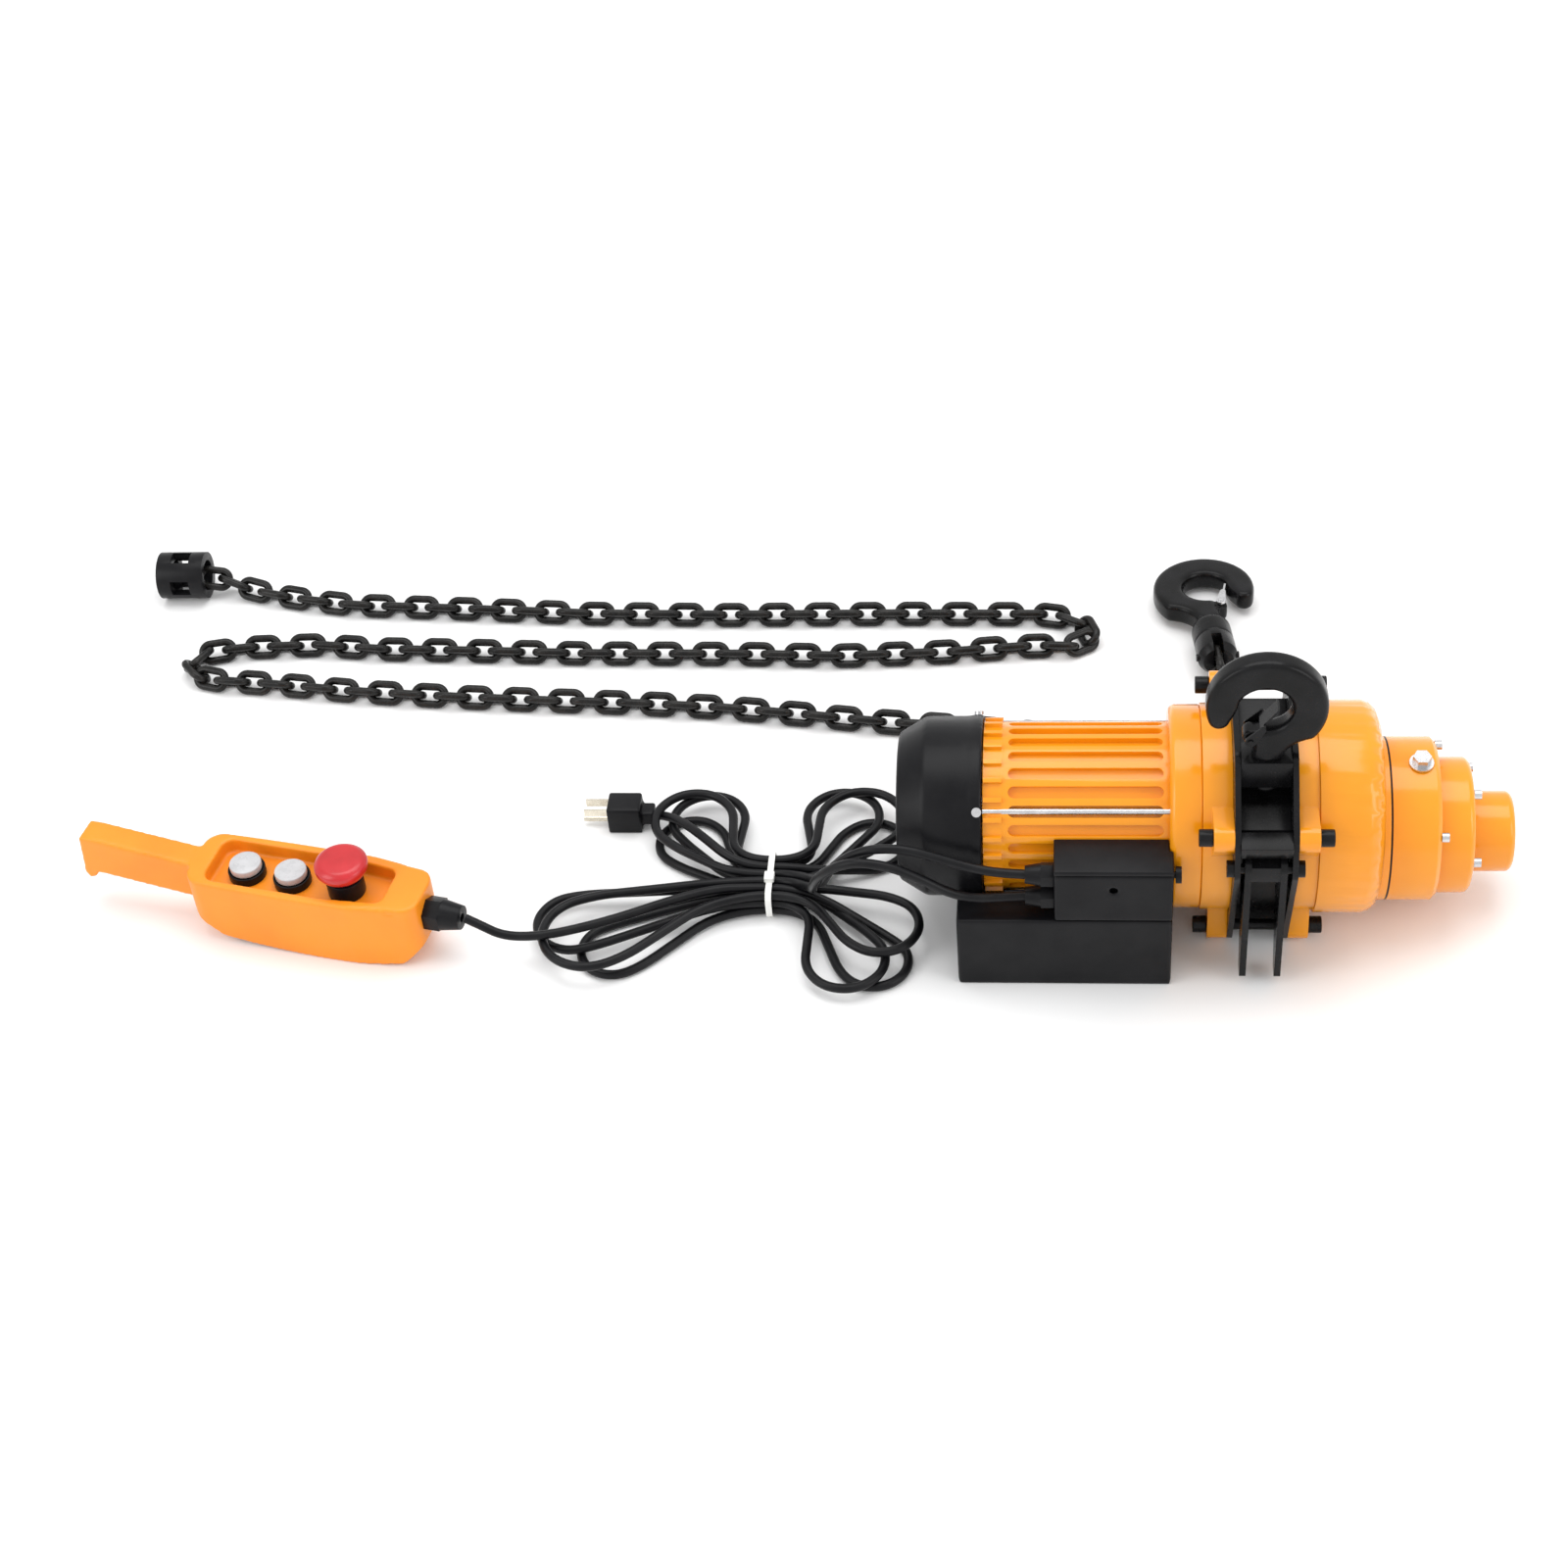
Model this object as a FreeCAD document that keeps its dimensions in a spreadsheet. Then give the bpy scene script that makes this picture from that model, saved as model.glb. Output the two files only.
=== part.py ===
"""Electric chain hoist lying at rest: motor, chain drive, gearing, brake, hooks, chain, pendant and cords.

The frame: +X along the motor axis from the fan to the end cap, +Y away from the electrical box, +Z up,
floor at Z = 0 and the origin under the middle of the hoist and its pendant. Lengths are millimetres.
"""

import FreeCAD, Part
import math
import os
import re
from types import SimpleNamespace

from FreeCAD import Placement, Rotation, Vector

SIZES = {
    # where things lie
    "axis_x_shift": 217.8,
    "axis_y_shift": 2.3,
    "axis_height": 90,
    "case_roll": 16.4,
    "rod_turn": 55.4,
    # general fits
    "running_gap": 0.4,
    "slide_gap": 0.3,
    "bearing_fit": 0.05,
    "wall_thickness": 3.5,
    "plate_thickness": 4,
    # motor, lengths along X
    "motor_left": -128.5,
    "fan_cover_taper": 20,
    "fan_cover_length": 61.7,
    "fan_cover_rim": 8,
    "fan_cover_end_radius": 53,
    "fan_cover_radius": 65,
    "fan_slot_count": 16,
    "bracket_length": 13.8,
    "bracket_radius": 61,
    "bracket_rib_count": 28,
    "bracket_rib_height": 3,
    "bracket_rib_width": 3.5,
    "housing_length": 116.5,
    "housing_radius": 61,
    "stator_radius": 54.5,
    "groove_count": 28,
    "groove_depth": 4.5,
    "groove_width": 8.4,
    "groove_margin": 4,
    "tie_rod_radius": 2.4,
    "flange_length": 22.5,
    "flange_radius": 73,
    "stator_length": 76,
    "rotor_radius": 31,
    "shaft_radius": 7,
    "motor_bearing_radius": 16,
    "motor_bearing_width": 10,
    "fan_radius": 48,
    "fan_hub_radius": 13,
    "fan_depth": 16,
    "fan_blade_count": 8,
    # chain case between the two yellow castings
    "casting_left_length": 20.8,
    "casting_right_length": 15.8,
    "casting_radius": 74,
    "lug_length": 14.4,
    "lug_radius": 10,
    "case_bolt_offset": 62.65,
    "case_bolt_radius": 4,
    "bolt_head_radius": 6.2,
    "bolt_head_length": 10,
    "side_plate_thickness": 4,
    "chain_room_width": 35.4,
    "sheave_room_radius": 45,
    "guide_half_width": 56,
    "guide_top": 58,
    "guide_bottom": -72,
    "sheave_bearing_radius": 21.5,
    "sheave_bearing_width": 9,
    "hub_radius": 15,
    # suspension and limit fork, in the case's own upright frame
    "crosshead_forward": 15.6,
    "crosshead_up": 81.7,
    "crosshead_size": 22,
    "crosshead_pin_radius": 7,
    "fork_pivot_forward": 75.9,
    "fork_pivot_up": 43.2,
    "fork_pivot_radius": 3.5,
    "fork_head_radius": 6,
    "fork_head_length": 9,
    "fork_width": 29,
    "fork_blade_thickness": 4.6,
    "fork_drop": 104,
    "fork_depth": 34,
    "spacer_bar_width": 22,
    "spacer_bar_height": 12,
    # gear case, gear cover, brake cap and end cap
    "gear_housing_length": 45.3,
    "gear_housing_radius": 76,
    "gear_housing_shoulder": 12,
    "gear_neck_length": 6.1,
    "gear_cover_radius": 58.7,
    "gear_cover_drop": 17.3,
    "gasket_thickness": 1.2,
    "gear_cover_length": 33.9,
    "brake_cap_radius": 48.9,
    "brake_cap_drop": 26.7,
    "brake_cap_length": 25.5,
    "end_cap_radius": 29,
    "end_cap_length": 31.5,
    "shaft_distance": 36,
    "layshaft_radius": 6,
    "layshaft_bearing_radius": 14,
    "first_gear_radius": 28.6,
    "first_gear_width": 9,
    "second_pinion_radius": 7.2,
    "second_gear_radius": 28.3,
    "second_gear_width": 16,
    "gear_tooth_height": 2.2,
    "brake_disc_radius": 31,
    "brake_disc_thickness": 4,
    "brake_coil_radius": 33,
    "brake_coil_length": 20,
    "oil_plug_radius": 6.5,
    "screw_head_radius": 3.4,
    "screw_head_length": 5,
    "flat_screw_height": 2.4,
    # load chain
    "chain_wire": 6.3,
    "chain_pitch": 19.1,
    "chain_width": 20.6,
    "link_play": 0.7,
    # hooks
    "hook_bowl_radius": 18.5,
    "hook_outer_radius": 42,
    "hook_thickness": 17,
    "hook_shank_radius": 9,
    "hook_bowl_rise": 55,
    "latch_length": 30,
    "latch_width": 12,
    "latch_plate": 1.6,
    "latch_pin_radius": 2,
    "swivel_radius": 16,
    "swivel_length": 24,
    "swivel_stem_radius": 5,
    # electrical box
    "box_left": -86,
    "box_length": 152,
    "box_front": 92,
    "box_depth": 112,
    "box_height": 64,
    "control_box_left": -17,
    "control_box_length": 83,
    "control_box_depth": 34,
    "control_box_top": 112.5,
    "control_lid_thickness": 4,
    "gland_radius": 9,
    "gland_length": 20,
    "upper_gland_height": 99,
    "lower_gland_height": 78,
    "capacitor_radius": 17,
    "capacitor_length": 60,
    # pendant control
    "pendant_x": -745,
    "pendant_y": -2.3,
    "pendant_yaw": -12,
    "pendant_height": 59,
    "pendant_length": 275,
    "pendant_body_start": 90,
    "pendant_width": 54,
    "pendant_nose_width": 30,
    "handle_width": 21,
    "pendant_face_height": 47,
    "button_radius": 12,
    "button_travel": 4,
    "collar_radius": 14,
    "first_button": 131,
    "second_button": 168,
    "stop_button": 212,
    "mushroom_radius": 19.8,
    "stop_base_radius": 14,
    "stop_travel": 4,
    "pendant_gland_height": 38,
    # cords
    "cord_radius": 3.5,
    "hank_height": 21,
    "raised_hank_thickness": 12,
}

doc = FreeCAD.newDocument("electric_chain_hoist")
sheet = doc.addObject("Spreadsheet::Sheet", "Sizes")
for row, (alias, value) in enumerate(SIZES.items(), 1):
    sheet.set(f"A{row}", alias)
    sheet.set(f"B{row}", str(value))
    sheet.setAlias(f"B{row}", alias)
doc.recompute()
s = SimpleNamespace(**{alias: float(sheet.get(alias)) for alias in SIZES})

ALONG = {
    "x": Rotation(Vector(0, 1, 0), 90),
    "y": Rotation(Vector(1, 0, 0), -90),
    "z": Rotation(),
}
NODES = []


# ---- places along the motor axis, each worked out from the lengths before it ----

cover_right = s.motor_left + s.fan_cover_length
bracket_right = cover_right + s.bracket_length
housing_right = bracket_right + s.housing_length
flange_right = housing_right + s.flange_length
casting_right = flange_right + s.casting_left_length
room_left = casting_right + s.side_plate_thickness
room_right = room_left + s.chain_room_width
plate_right = room_right + s.side_plate_thickness
gear_left = plate_right + s.casting_right_length
gear_right = gear_left + s.gear_housing_length
neck_right = gear_right + s.gear_neck_length
gear_cover_left = neck_right + s.gasket_thickness
gear_cover_right = gear_cover_left + s.gear_cover_length
brake_cap_right = gear_cover_right + s.brake_cap_length
end_cap_right = brake_cap_right + s.end_cap_length
room_middle = (room_left + room_right) / 2
second_gear_left = gear_left + 2
pinion_left = second_gear_left + s.second_gear_width + 3

# ---- frames: pieces are modelled in their assembly's own frame, then placed ----

FLOOR = Placement(Vector(s.axis_x_shift, s.axis_y_shift, 0), Rotation())
MOTOR = FLOOR * Placement(Vector(0, 0, s.axis_height), Rotation())
CASE = MOTOR * Placement(Vector(0, 0, 0), Rotation(Vector(1, 0, 0), s.case_roll))
PENDANT = FLOOR * Placement(Vector(s.pendant_x, s.pendant_y, 0), Rotation(Vector(0, 0, 1), s.pendant_yaw))


# ---- helpers ----


def bound(rule):
    """A size rule as an expression on the sheet's cells; a plain number stays as it is."""
    return re.sub(r"[a-z]+(?:_[a-z]+)+", lambda found: "Sizes." + found.group(), str(rule))


def primitive(kind, sizes, at=(0, 0, 0), turn=Rotation()):
    """One Part primitive whose sizes follow the sheet."""
    thing = doc.addObject("Part::" + kind, kind.lower())
    for size, rule in sizes.items():
        thing.setExpression(size, bound(rule))
    thing.Placement = Placement(Vector(*at), turn)
    thing.recompute()
    return thing


def cylinder(radius, length, at, along="x"):
    return primitive("Cylinder", {"Radius": radius, "Height": length}, at, ALONG[along])


def cone(first, last, length, at, along="x"):
    return primitive("Cone", {"Radius1": first, "Radius2": last, "Height": length}, at, ALONG[along])


def box(length, width, height, at, turn=Rotation()):
    """A box from its corner at the given place."""
    return primitive("Box", {"Length": length, "Width": width, "Height": height}, at, turn)


def fuse(*things):
    joined = doc.addObject("Part::MultiFuse", "joined")
    joined.Shapes = list(things)
    joined.recompute()
    return joined


def cut(base, *tools):
    rest = doc.addObject("Part::Cut", "rest")
    rest.Base = base
    rest.Tool = tools[0] if len(tools) == 1 else fuse(*tools)
    rest.recompute()
    return rest


def common(first, second):
    kept = doc.addObject("Part::Common", "kept")
    kept.Base = first
    kept.Tool = second
    kept.recompute()
    return kept


def group(*things):
    """Separate solids that share one node."""
    together = doc.addObject("Part::Compound", "together")
    together.Links = list(things)
    together.recompute()
    return together


def ring(outer, inner, length, at, along="x"):
    return cut(cylinder(outer, length, at, along), cylinder(inner, length, at, along))


def turned(x, *steps, drop=0.0):
    """Round steps along X from x, each (length, radius) or (length, first radius, last radius)."""
    stack = []
    for length, *radii in steps:
        if len(radii) == 1:
            stack.append(cylinder(radii[0], length, (x, 0, -drop)))
        else:
            stack.append(cone(*radii, length, (x, 0, -drop)))
        x += stack[-1].Height.Value
    return fuse(*stack) if len(stack) > 1 else stack[0]


def belt(circles):
    """The closed outline round circles (x, y, radius), which are given anticlockwise."""
    straights = []
    for (x1, y1, r1), (x2, y2, r2) in zip(circles, circles[1:] + circles[:1]):
        span = math.hypot(x2 - x1, y2 - y1)
        normal = math.atan2(y2 - y1, x2 - x1) - math.pi / 2 + math.asin((r1 - r2) / span)
        out = Vector(math.cos(normal), math.sin(normal), 0)
        straights.append((Vector(x1, y1, 0) + out * r1, Vector(x2, y2, 0) + out * r2, normal))
    edges = []
    for number, (x, y, radius) in enumerate(circles):
        start, first = straights[number - 1][1:]
        end, last = straights[number][0], straights[number][2]
        middle = first + ((last - first) % math.tau) / 2
        if radius > 0:
            halfway = Vector(x + radius * math.cos(middle), y + radius * math.sin(middle), 0)
            edges.append(Part.Arc(start, halfway, end))
        edges.append(Part.LineSegment(end, straights[number][1]))
    return edges


def polygon(points):
    return belt([(x, y, 0) for x, y in points])


def plane_of(body, role):
    return next(o for o in body.Origin.OriginFeatures if o.Role == role)


def pad(outline, thickness, at=(0, 0, 0), turn=Rotation(), middle=False):
    """A PartDesign body padded from a sketched outline by a thickness on the sheet."""
    body = doc.addObject("PartDesign::Body", "padded")
    sketch = body.newObject("Sketcher::SketchObject", "outline")
    sketch.AttachmentSupport = [(plane_of(body, "XY_Plane"), "")]
    sketch.MapMode = "FlatFace"
    sketch.addGeometry(outline, False)
    feature = body.newObject("PartDesign::Pad", "pad")
    feature.Profile = sketch
    feature.setExpression("Length", bound(thickness))
    feature.Midplane = middle
    body.Tip = feature
    body.Placement = Placement(Vector(*at), turn)
    doc.recompute([sketch, feature, body])
    return body


def around(count, first=0.0):
    """Angles in degrees of things spread evenly round the axis."""
    return [first + 360.0 * number / count for number in range(int(count))]


def at_angle(angle, radius, x, drop=0.0):
    """A place at an angle from the front horizontal, measured upward round the X axis."""
    turn = math.radians(angle)
    return (x, -radius * math.cos(turn), radius * math.sin(turn) - drop)


def facing(angle):
    """Turns a piece standing along Z so that it points outward at an angle."""
    return Rotation(Vector(1, 0, 0), 90 - angle)


def standing(piece, angle):
    piece.Placement.Rotation = facing(angle)
    return piece


def node(label, thing, frame):
    thing.Label = label
    thing.Placement = frame * thing.Placement
    NODES.append(thing)
    return thing


# Sketch planes seen from the side: YZ with the sketch's x as Y and its y as Z, and XZ likewise.
SIDE_ON = Rotation(Vector(1, 1, 1), 120)
FRONT_ON = Rotation(Vector(1, 0, 0), 90)


# ---- motor ----


def fan_cover():
    straight = "fan_cover_length - fan_cover_taper - fan_cover_rim"
    outside = turned(
        s.motor_left,
        ("fan_cover_taper", "fan_cover_end_radius", "fan_cover_radius"),
        (straight, "fan_cover_radius"),
        ("fan_cover_rim", "fan_cover_radius + 1"),
    )
    inside = turned(
        s.motor_left + s.wall_thickness,
        (
            "fan_cover_taper - wall_thickness",
            "fan_cover_end_radius - wall_thickness",
            "fan_cover_radius - wall_thickness",
        ),
        (straight, "fan_cover_radius - wall_thickness"),
        ("fan_cover_rim", "fan_cover_radius - wall_thickness"),
    )
    slots = [
        box(
            "3 * wall_thickness",
            4,
            22,
            at_angle(angle, 18, s.motor_left - s.wall_thickness),
            facing(angle),
        )
        for angle in around(s.fan_slot_count)
    ]
    node("fan_cover", cut(outside, inside, *slots), CASE)


def motor_rear_bracket():
    shell = turned(cover_right, ("bracket_length", "bracket_radius"))
    hollow = cylinder("stator_radius", "bracket_length - plate_thickness - 6", (cover_right, 0, 0))
    bore = cylinder("motor_bearing_radius", "bracket_length", (cover_right, 0, 0))
    hub = ring(
        "motor_bearing_radius + 5",
        "motor_bearing_radius",
        "bracket_length - plate_thickness - 6",
        (cover_right, 0, 0),
    )
    ribs = [
        box(
            "bracket_length - 1",
            "bracket_rib_width",
            "bracket_rib_height + 2",
            at_angle(angle, s.bracket_radius - 2, cover_right + 0.5),
            facing(angle),
        )
        for angle in around(s.bracket_rib_count, s.rod_turn + 6)
    ]
    rods = tie_rod_holes(cover_right, "bracket_length")
    node("motor_rear_bracket", cut(fuse(cut(shell, hollow, bore), hub, *ribs), *rods), CASE)


def tie_rod_holes(x, length, radius="tie_rod_radius"):
    spot = s.housing_radius - s.tie_rod_radius + 0.6
    return [cylinder(radius, length, at_angle(angle, spot, x)) for angle in around(4, s.rod_turn)]


def motor_housing():
    """A finned tube: lengthwise grooves with round ends, four of them holding the tie rods."""
    shell = ring("housing_radius", "stator_radius", "housing_length", (bracket_right, 0, 0))
    run = s.housing_length - 2 * s.groove_margin - s.groove_width
    start = bracket_right + s.groove_margin + s.groove_width / 2
    half = s.groove_width / 2
    grooves = []
    for angle in around(s.groove_count, s.rod_turn):
        outline = belt([(0, 0, half), (run, 0, half)])
        lie = facing(angle)
        place = at_angle(angle, s.housing_radius - s.groove_depth, start)
        grooves.append(pad(outline, "groove_depth + 3", place, lie))
    rods = tie_rod_holes(bracket_right, "housing_length")
    node("motor_housing", cut(shell, *grooves, *rods), CASE)


def tie_rods():
    length = "bracket_length + housing_length"
    node("tie_rods", group(*tie_rod_holes(cover_right, length)), CASE)


def stator():
    x = bracket_right + (s.housing_length - s.stator_length) / 2
    core = ring("stator_radius", "rotor_radius + running_gap", "stator_length", (x, 0, 0))
    node("stator", core, CASE)


def rotor():
    x = bracket_right + (s.housing_length - s.stator_length) / 2
    core = ring("rotor_radius", "shaft_radius", "stator_length", (x, 0, 0))
    node("rotor_core", core, CASE)
    shaft_left = s.motor_left + 10
    shaft = cylinder("shaft_radius", pinion_left - shaft_left, (shaft_left, 0, 0))
    pinion = gear("shaft_radius", "first_gear_width + 2", 10, (pinion_left, 0, 0))
    node("motor_shaft", fuse(shaft, pinion), CASE)


def cooling_fan():
    x = s.motor_left + s.fan_cover_taper - 2
    hub = ring("fan_hub_radius", "shaft_radius", "fan_depth", (x, 0, 0))
    disc = ring("fan_radius", "fan_hub_radius", 2.5, (x + s.fan_depth - 2.5, 0, 0))
    blades = [
        box(
            "fan_depth - 2",
            2.5,
            "fan_radius - fan_hub_radius",
            at_angle(angle, s.fan_hub_radius - 0.5, x),
            facing(angle),
        )
        for angle in around(s.fan_blade_count)
    ]
    node("cooling_fan", fuse(hub, disc, *blades), CASE)


def bearing(x, outer, inner, width, drop=0.0):
    return ring(outer, f"{inner} + bearing_fit", width, (x, 0, -drop))


def motor_bearings():
    rear = bearing(cover_right + 2, "motor_bearing_radius", "shaft_radius", "motor_bearing_width")
    front = bearing(housing_right + 2, "motor_bearing_radius", "shaft_radius", "motor_bearing_width")
    return [rear, front]


def motor_flange():
    """The motor's drive end: a drum with a web that holds the shaft's front bearing."""
    drum = turned(
        housing_right,
        (3, "flange_radius - 3", "flange_radius"),
        ("flange_length - 3", "flange_radius"),
    )
    hollow = cylinder("flange_radius - 12", "flange_length - 14", (housing_right + 14, 0, 0))
    bore = cylinder("motor_bearing_radius", "flange_length", (housing_right, 0, 0))
    node("motor_flange", cut(drum, hollow, bore), CASE)


# ---- chain case ----


def case_bolt_spots():
    """The four case bolts stand on a square round the motor axis."""
    reach = s.case_bolt_offset
    return [(-reach, reach), (reach, reach), (reach, -reach), (-reach, -reach)]


def casting(label, left, length, lug_left):
    """A yellow side casting: a drum with four bolt lugs and a web that holds the sheave's bearing."""
    drum = cylinder("casting_radius", length, (left, 0, 0))
    lugs = []
    for y, z in case_bolt_spots():
        inward = 0.45
        outline = belt(
            [
                (y, z, s.lug_radius),
                (y * inward - z * 0.22, z * inward + y * 0.22, s.lug_radius),
                (y * inward + z * 0.22, z * inward - y * 0.22, s.lug_radius),
            ]
        )
        lugs.append(pad(outline, "lug_length", (lug_left, 0, 0), SIDE_ON))
    room = cylinder("casting_radius - 14", f"{length} - sheave_bearing_width", (left, 0, 0))
    bore = cylinder("sheave_bearing_radius", length, (left, 0, 0))
    holes = [cylinder("case_bolt_radius", length, (left, y, z)) for y, z in case_bolt_spots()]
    return cut(fuse(drum, *lugs), room, bore, *holes)


def castings():
    left = casting("case_left", flange_right, "casting_left_length", casting_right - s.lug_length)
    node("case_left", left, CASE)
    right = casting("case_right", plate_right, "casting_right_length", plate_right)
    layshaft_seat = cylinder(
        "layshaft_bearing_radius", 8, (gear_left - 8, 0, -s.shaft_distance)
    )
    node("case_right", cut(right, layshaft_seat), CASE)


def plate_outline():
    """A side plate's outline: round the bolts, the crosshead's bearing and the fork's pivot."""
    reach = s.case_bolt_offset
    return belt(
        [
            (-reach, -reach, s.lug_radius),
            (reach, -reach, s.lug_radius),
            (reach, reach, s.lug_radius),
            (-s.crosshead_forward, s.crosshead_up, 13),
            (-reach, reach, s.lug_radius),
            (-s.fork_pivot_forward, s.fork_pivot_up, 9),
        ]
    )


def side_plates():
    plates = []
    for x in (casting_right, room_right):
        plate = pad(plate_outline(), "side_plate_thickness", (x, 0, 0), SIDE_ON)
        thickness = "side_plate_thickness"
        holes = [cylinder("case_bolt_radius", thickness, (x, y, z)) for y, z in case_bolt_spots()]
        holes.append(cylinder("hub_radius + running_gap", thickness, (x, 0, 0)))
        crosshead = (x, -s.crosshead_forward, s.crosshead_up)
        holes.append(cylinder("crosshead_pin_radius + 0.08", thickness, crosshead))
        pivot = (x, -s.fork_pivot_forward, s.fork_pivot_up)
        holes.append(cylinder("fork_pivot_radius", thickness, pivot))
        plates.append(cut(plate, *holes))
    node("side_plates", group(*plates), CASE)


def chain_guide():
    """The black block between the plates, hollow round the sheave, its two chain slots open below."""
    height = "guide_top - guide_bottom"
    corner = (room_left, -s.guide_half_width, s.guide_bottom)
    block = box("chain_room_width", "2 * guide_half_width", height, corner)
    room = cylinder("sheave_room_radius", "chain_room_width", (room_left, 0, 0))
    slot = s.chain_width + 2.4
    slots = []
    for side in (-1, 1):
        middle = side * chain_line_radius()
        corner = (room_middle - slot / 2, middle - slot / 2, s.guide_bottom)
        slots.append(box(slot, slot, -s.guide_bottom, corner))
    reach = s.guide_half_width - s.wall_thickness
    slots.append(box(slot, 2 * reach, 32, (room_middle - slot / 2, -reach, s.guide_bottom)))
    bolts = [cylinder("lug_radius", "chain_room_width", (room_left, y, z)) for y, z in case_bolt_spots()]
    node("chain_guide", cut(block, room, *slots, *bolts), CASE)


def spacer_bar():
    """A bar round the upper front case bolt that keeps the side plates apart."""
    y, z = case_bolt_spots()[0]
    corner = (room_left, y - s.spacer_bar_width / 2 - 2, z - s.spacer_bar_height / 2)
    bar = box("chain_room_width", "spacer_bar_width - 8", "spacer_bar_height", corner)
    hole = cylinder("case_bolt_radius", "chain_room_width", (room_left, y, z))
    node("spacer_bar", cut(bar, hole), CASE)


def case_bolts():
    """Four long bolts through the castings and plates, a round head or nut at each end."""
    lug_left = casting_right - s.lug_length
    lug_right = plate_right + s.lug_length
    bolts = []
    for y, z in case_bolt_spots():
        shank = cylinder("case_bolt_radius", lug_right - lug_left, (lug_left, y, z))
        head = cylinder("bolt_head_radius", "bolt_head_length", (lug_left - s.bolt_head_length, y, z))
        nut = cylinder("bolt_head_radius", "bolt_head_length", (lug_right, y, z))
        bolts.append(fuse(shank, head, nut))
    node("case_bolts", group(*bolts), CASE)


# ---- load sheave, with its hollow hub round the motor shaft ----


def chain_line_radius():
    """The radius at which ten links of the chain lie round the five-pocket sheave."""
    return s.chain_pitch / (2 * math.sin(math.radians(18)))


def load_sheave():
    radius = chain_line_radius()
    flat_link_seat = radius * math.cos(math.radians(18)) - s.chain_wire / 2 - 0.6
    upright_link_seat = radius * math.cos(math.radians(18)) - s.chain_width / 2 - 0.6
    groove = s.chain_wire / 2 + 1.2
    seat = s.chain_width / 2 + 1
    rim = 4
    hub_left = casting_right - s.sheave_bearing_width
    hub_right = second_gear_left + s.second_gear_width
    wheel = turned(
        room_middle - seat - rim,
        (rim, 38),
        (seat - groove, flat_link_seat),
        (2 * groove, upright_link_seat),
        (seat - groove, flat_link_seat),
        (rim, 38),
    )
    hub = cylinder("hub_radius", hub_right - hub_left, (hub_left, 0, 0))
    bore = cylinder("shaft_radius + running_gap", hub_right - hub_left, (hub_left, 0, 0))
    gear_at = (second_gear_left, 0, 0)
    teeth = gear("second_gear_radius", "second_gear_width", 36, gear_at)
    eye = cylinder("hub_radius", "second_gear_width", gear_at)
    node("load_sheave", group(cut(fuse(wheel, hub), bore), cut(teeth, eye)), CASE)


def sheave_bearings():
    return [
        bearing(right - s.sheave_bearing_width, "sheave_bearing_radius", "hub_radius", "sheave_bearing_width")
        for right in (casting_right, gear_left)
    ]


def gear(radius, width, teeth, at):
    """A gear blank with straight teeth; the radius is that of its tooth tips."""
    blank = cylinder(f"{radius} - gear_tooth_height", width, at)
    tooth_width = math.pi * blank.Radius.Value / teeth
    ridges = []
    for angle in around(teeth):
        root = blank.Radius.Value - 1
        x, y, z = at_angle(angle, root, at[0])
        corner = (x, y + at[1], z + at[2])
        ridges.append(box(width, tooth_width, "gear_tooth_height + 1", corner, facing(angle)))
    tips = cylinder(radius, width, at)
    return common(fuse(blank, *ridges), tips)


# ---- gearing and brake ----


def layshaft():
    drop = s.shaft_distance
    left = gear_left - 7
    right = brake_cap_right + 14
    shaft = cylinder("layshaft_radius", right - left, (left, 0, -drop))
    pinion = gear("second_pinion_radius", "second_gear_width", 9, (second_gear_left, 0, -drop))
    wheel_at = (pinion_left + 1, 0, -drop)
    wheel = gear("first_gear_radius", "first_gear_width", 50, wheel_at)
    eye = cylinder("layshaft_radius", "first_gear_width", wheel_at)
    node("layshaft", group(fuse(shaft, pinion), cut(wheel, eye)), CASE)
    disc_at = (gear_cover_right + 5, 0, -drop)
    disc = ring("brake_disc_radius", "layshaft_radius", "brake_disc_thickness", disc_at)
    node("brake_disc", disc, CASE)


def layshaft_bearings():
    drop = s.shaft_distance
    inner = bearing(gear_left - 8, "layshaft_bearing_radius", "layshaft_radius", 8, drop)
    middle = bearing(gear_right - 4, "layshaft_bearing_radius", "layshaft_radius", 8, drop)
    outer = bearing(brake_cap_right, "layshaft_bearing_radius", "layshaft_radius", 8, drop)
    return [inner, middle, outer]


def bearings():
    node("bearings", group(*motor_bearings(), *sheave_bearings(), *layshaft_bearings()), CASE)


def gear_housing():
    """The big gear housing: a drum with a rounded shoulder and an offset neck for the gear cover."""
    shoulder = s.gear_housing_shoulder
    outside = turned(
        gear_left,
        ("gear_housing_length - gear_housing_shoulder", "gear_housing_radius"),
        (shoulder * 0.45, "gear_housing_radius", s.gear_housing_radius - shoulder * 0.15),
        (shoulder * 0.33, s.gear_housing_radius - shoulder * 0.15, s.gear_housing_radius - shoulder * 0.45),
        (shoulder * 0.22, s.gear_housing_radius - shoulder * 0.45, s.gear_housing_radius - shoulder),
    )
    neck = turned(gear_right - 1, ("gear_neck_length + 1", "gear_cover_radius"), drop=s.gear_cover_drop)
    inside = turned(
        gear_left,
        ("gear_housing_length - gear_housing_shoulder", "gear_housing_radius - plate_thickness"),
        (
            "gear_housing_shoulder - plate_thickness",
            "gear_housing_radius - plate_thickness",
            "gear_housing_radius - gear_housing_shoulder",
        ),
    )
    neck_room = turned(
        gear_right, ("gear_neck_length", "gear_cover_radius - plate_thickness"), drop=s.gear_cover_drop
    )
    seat = cylinder("layshaft_bearing_radius", 12, (gear_right - 6, 0, -s.shaft_distance))
    node("gear_housing", cut(fuse(outside, neck), inside, neck_room, seat), CASE)


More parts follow.
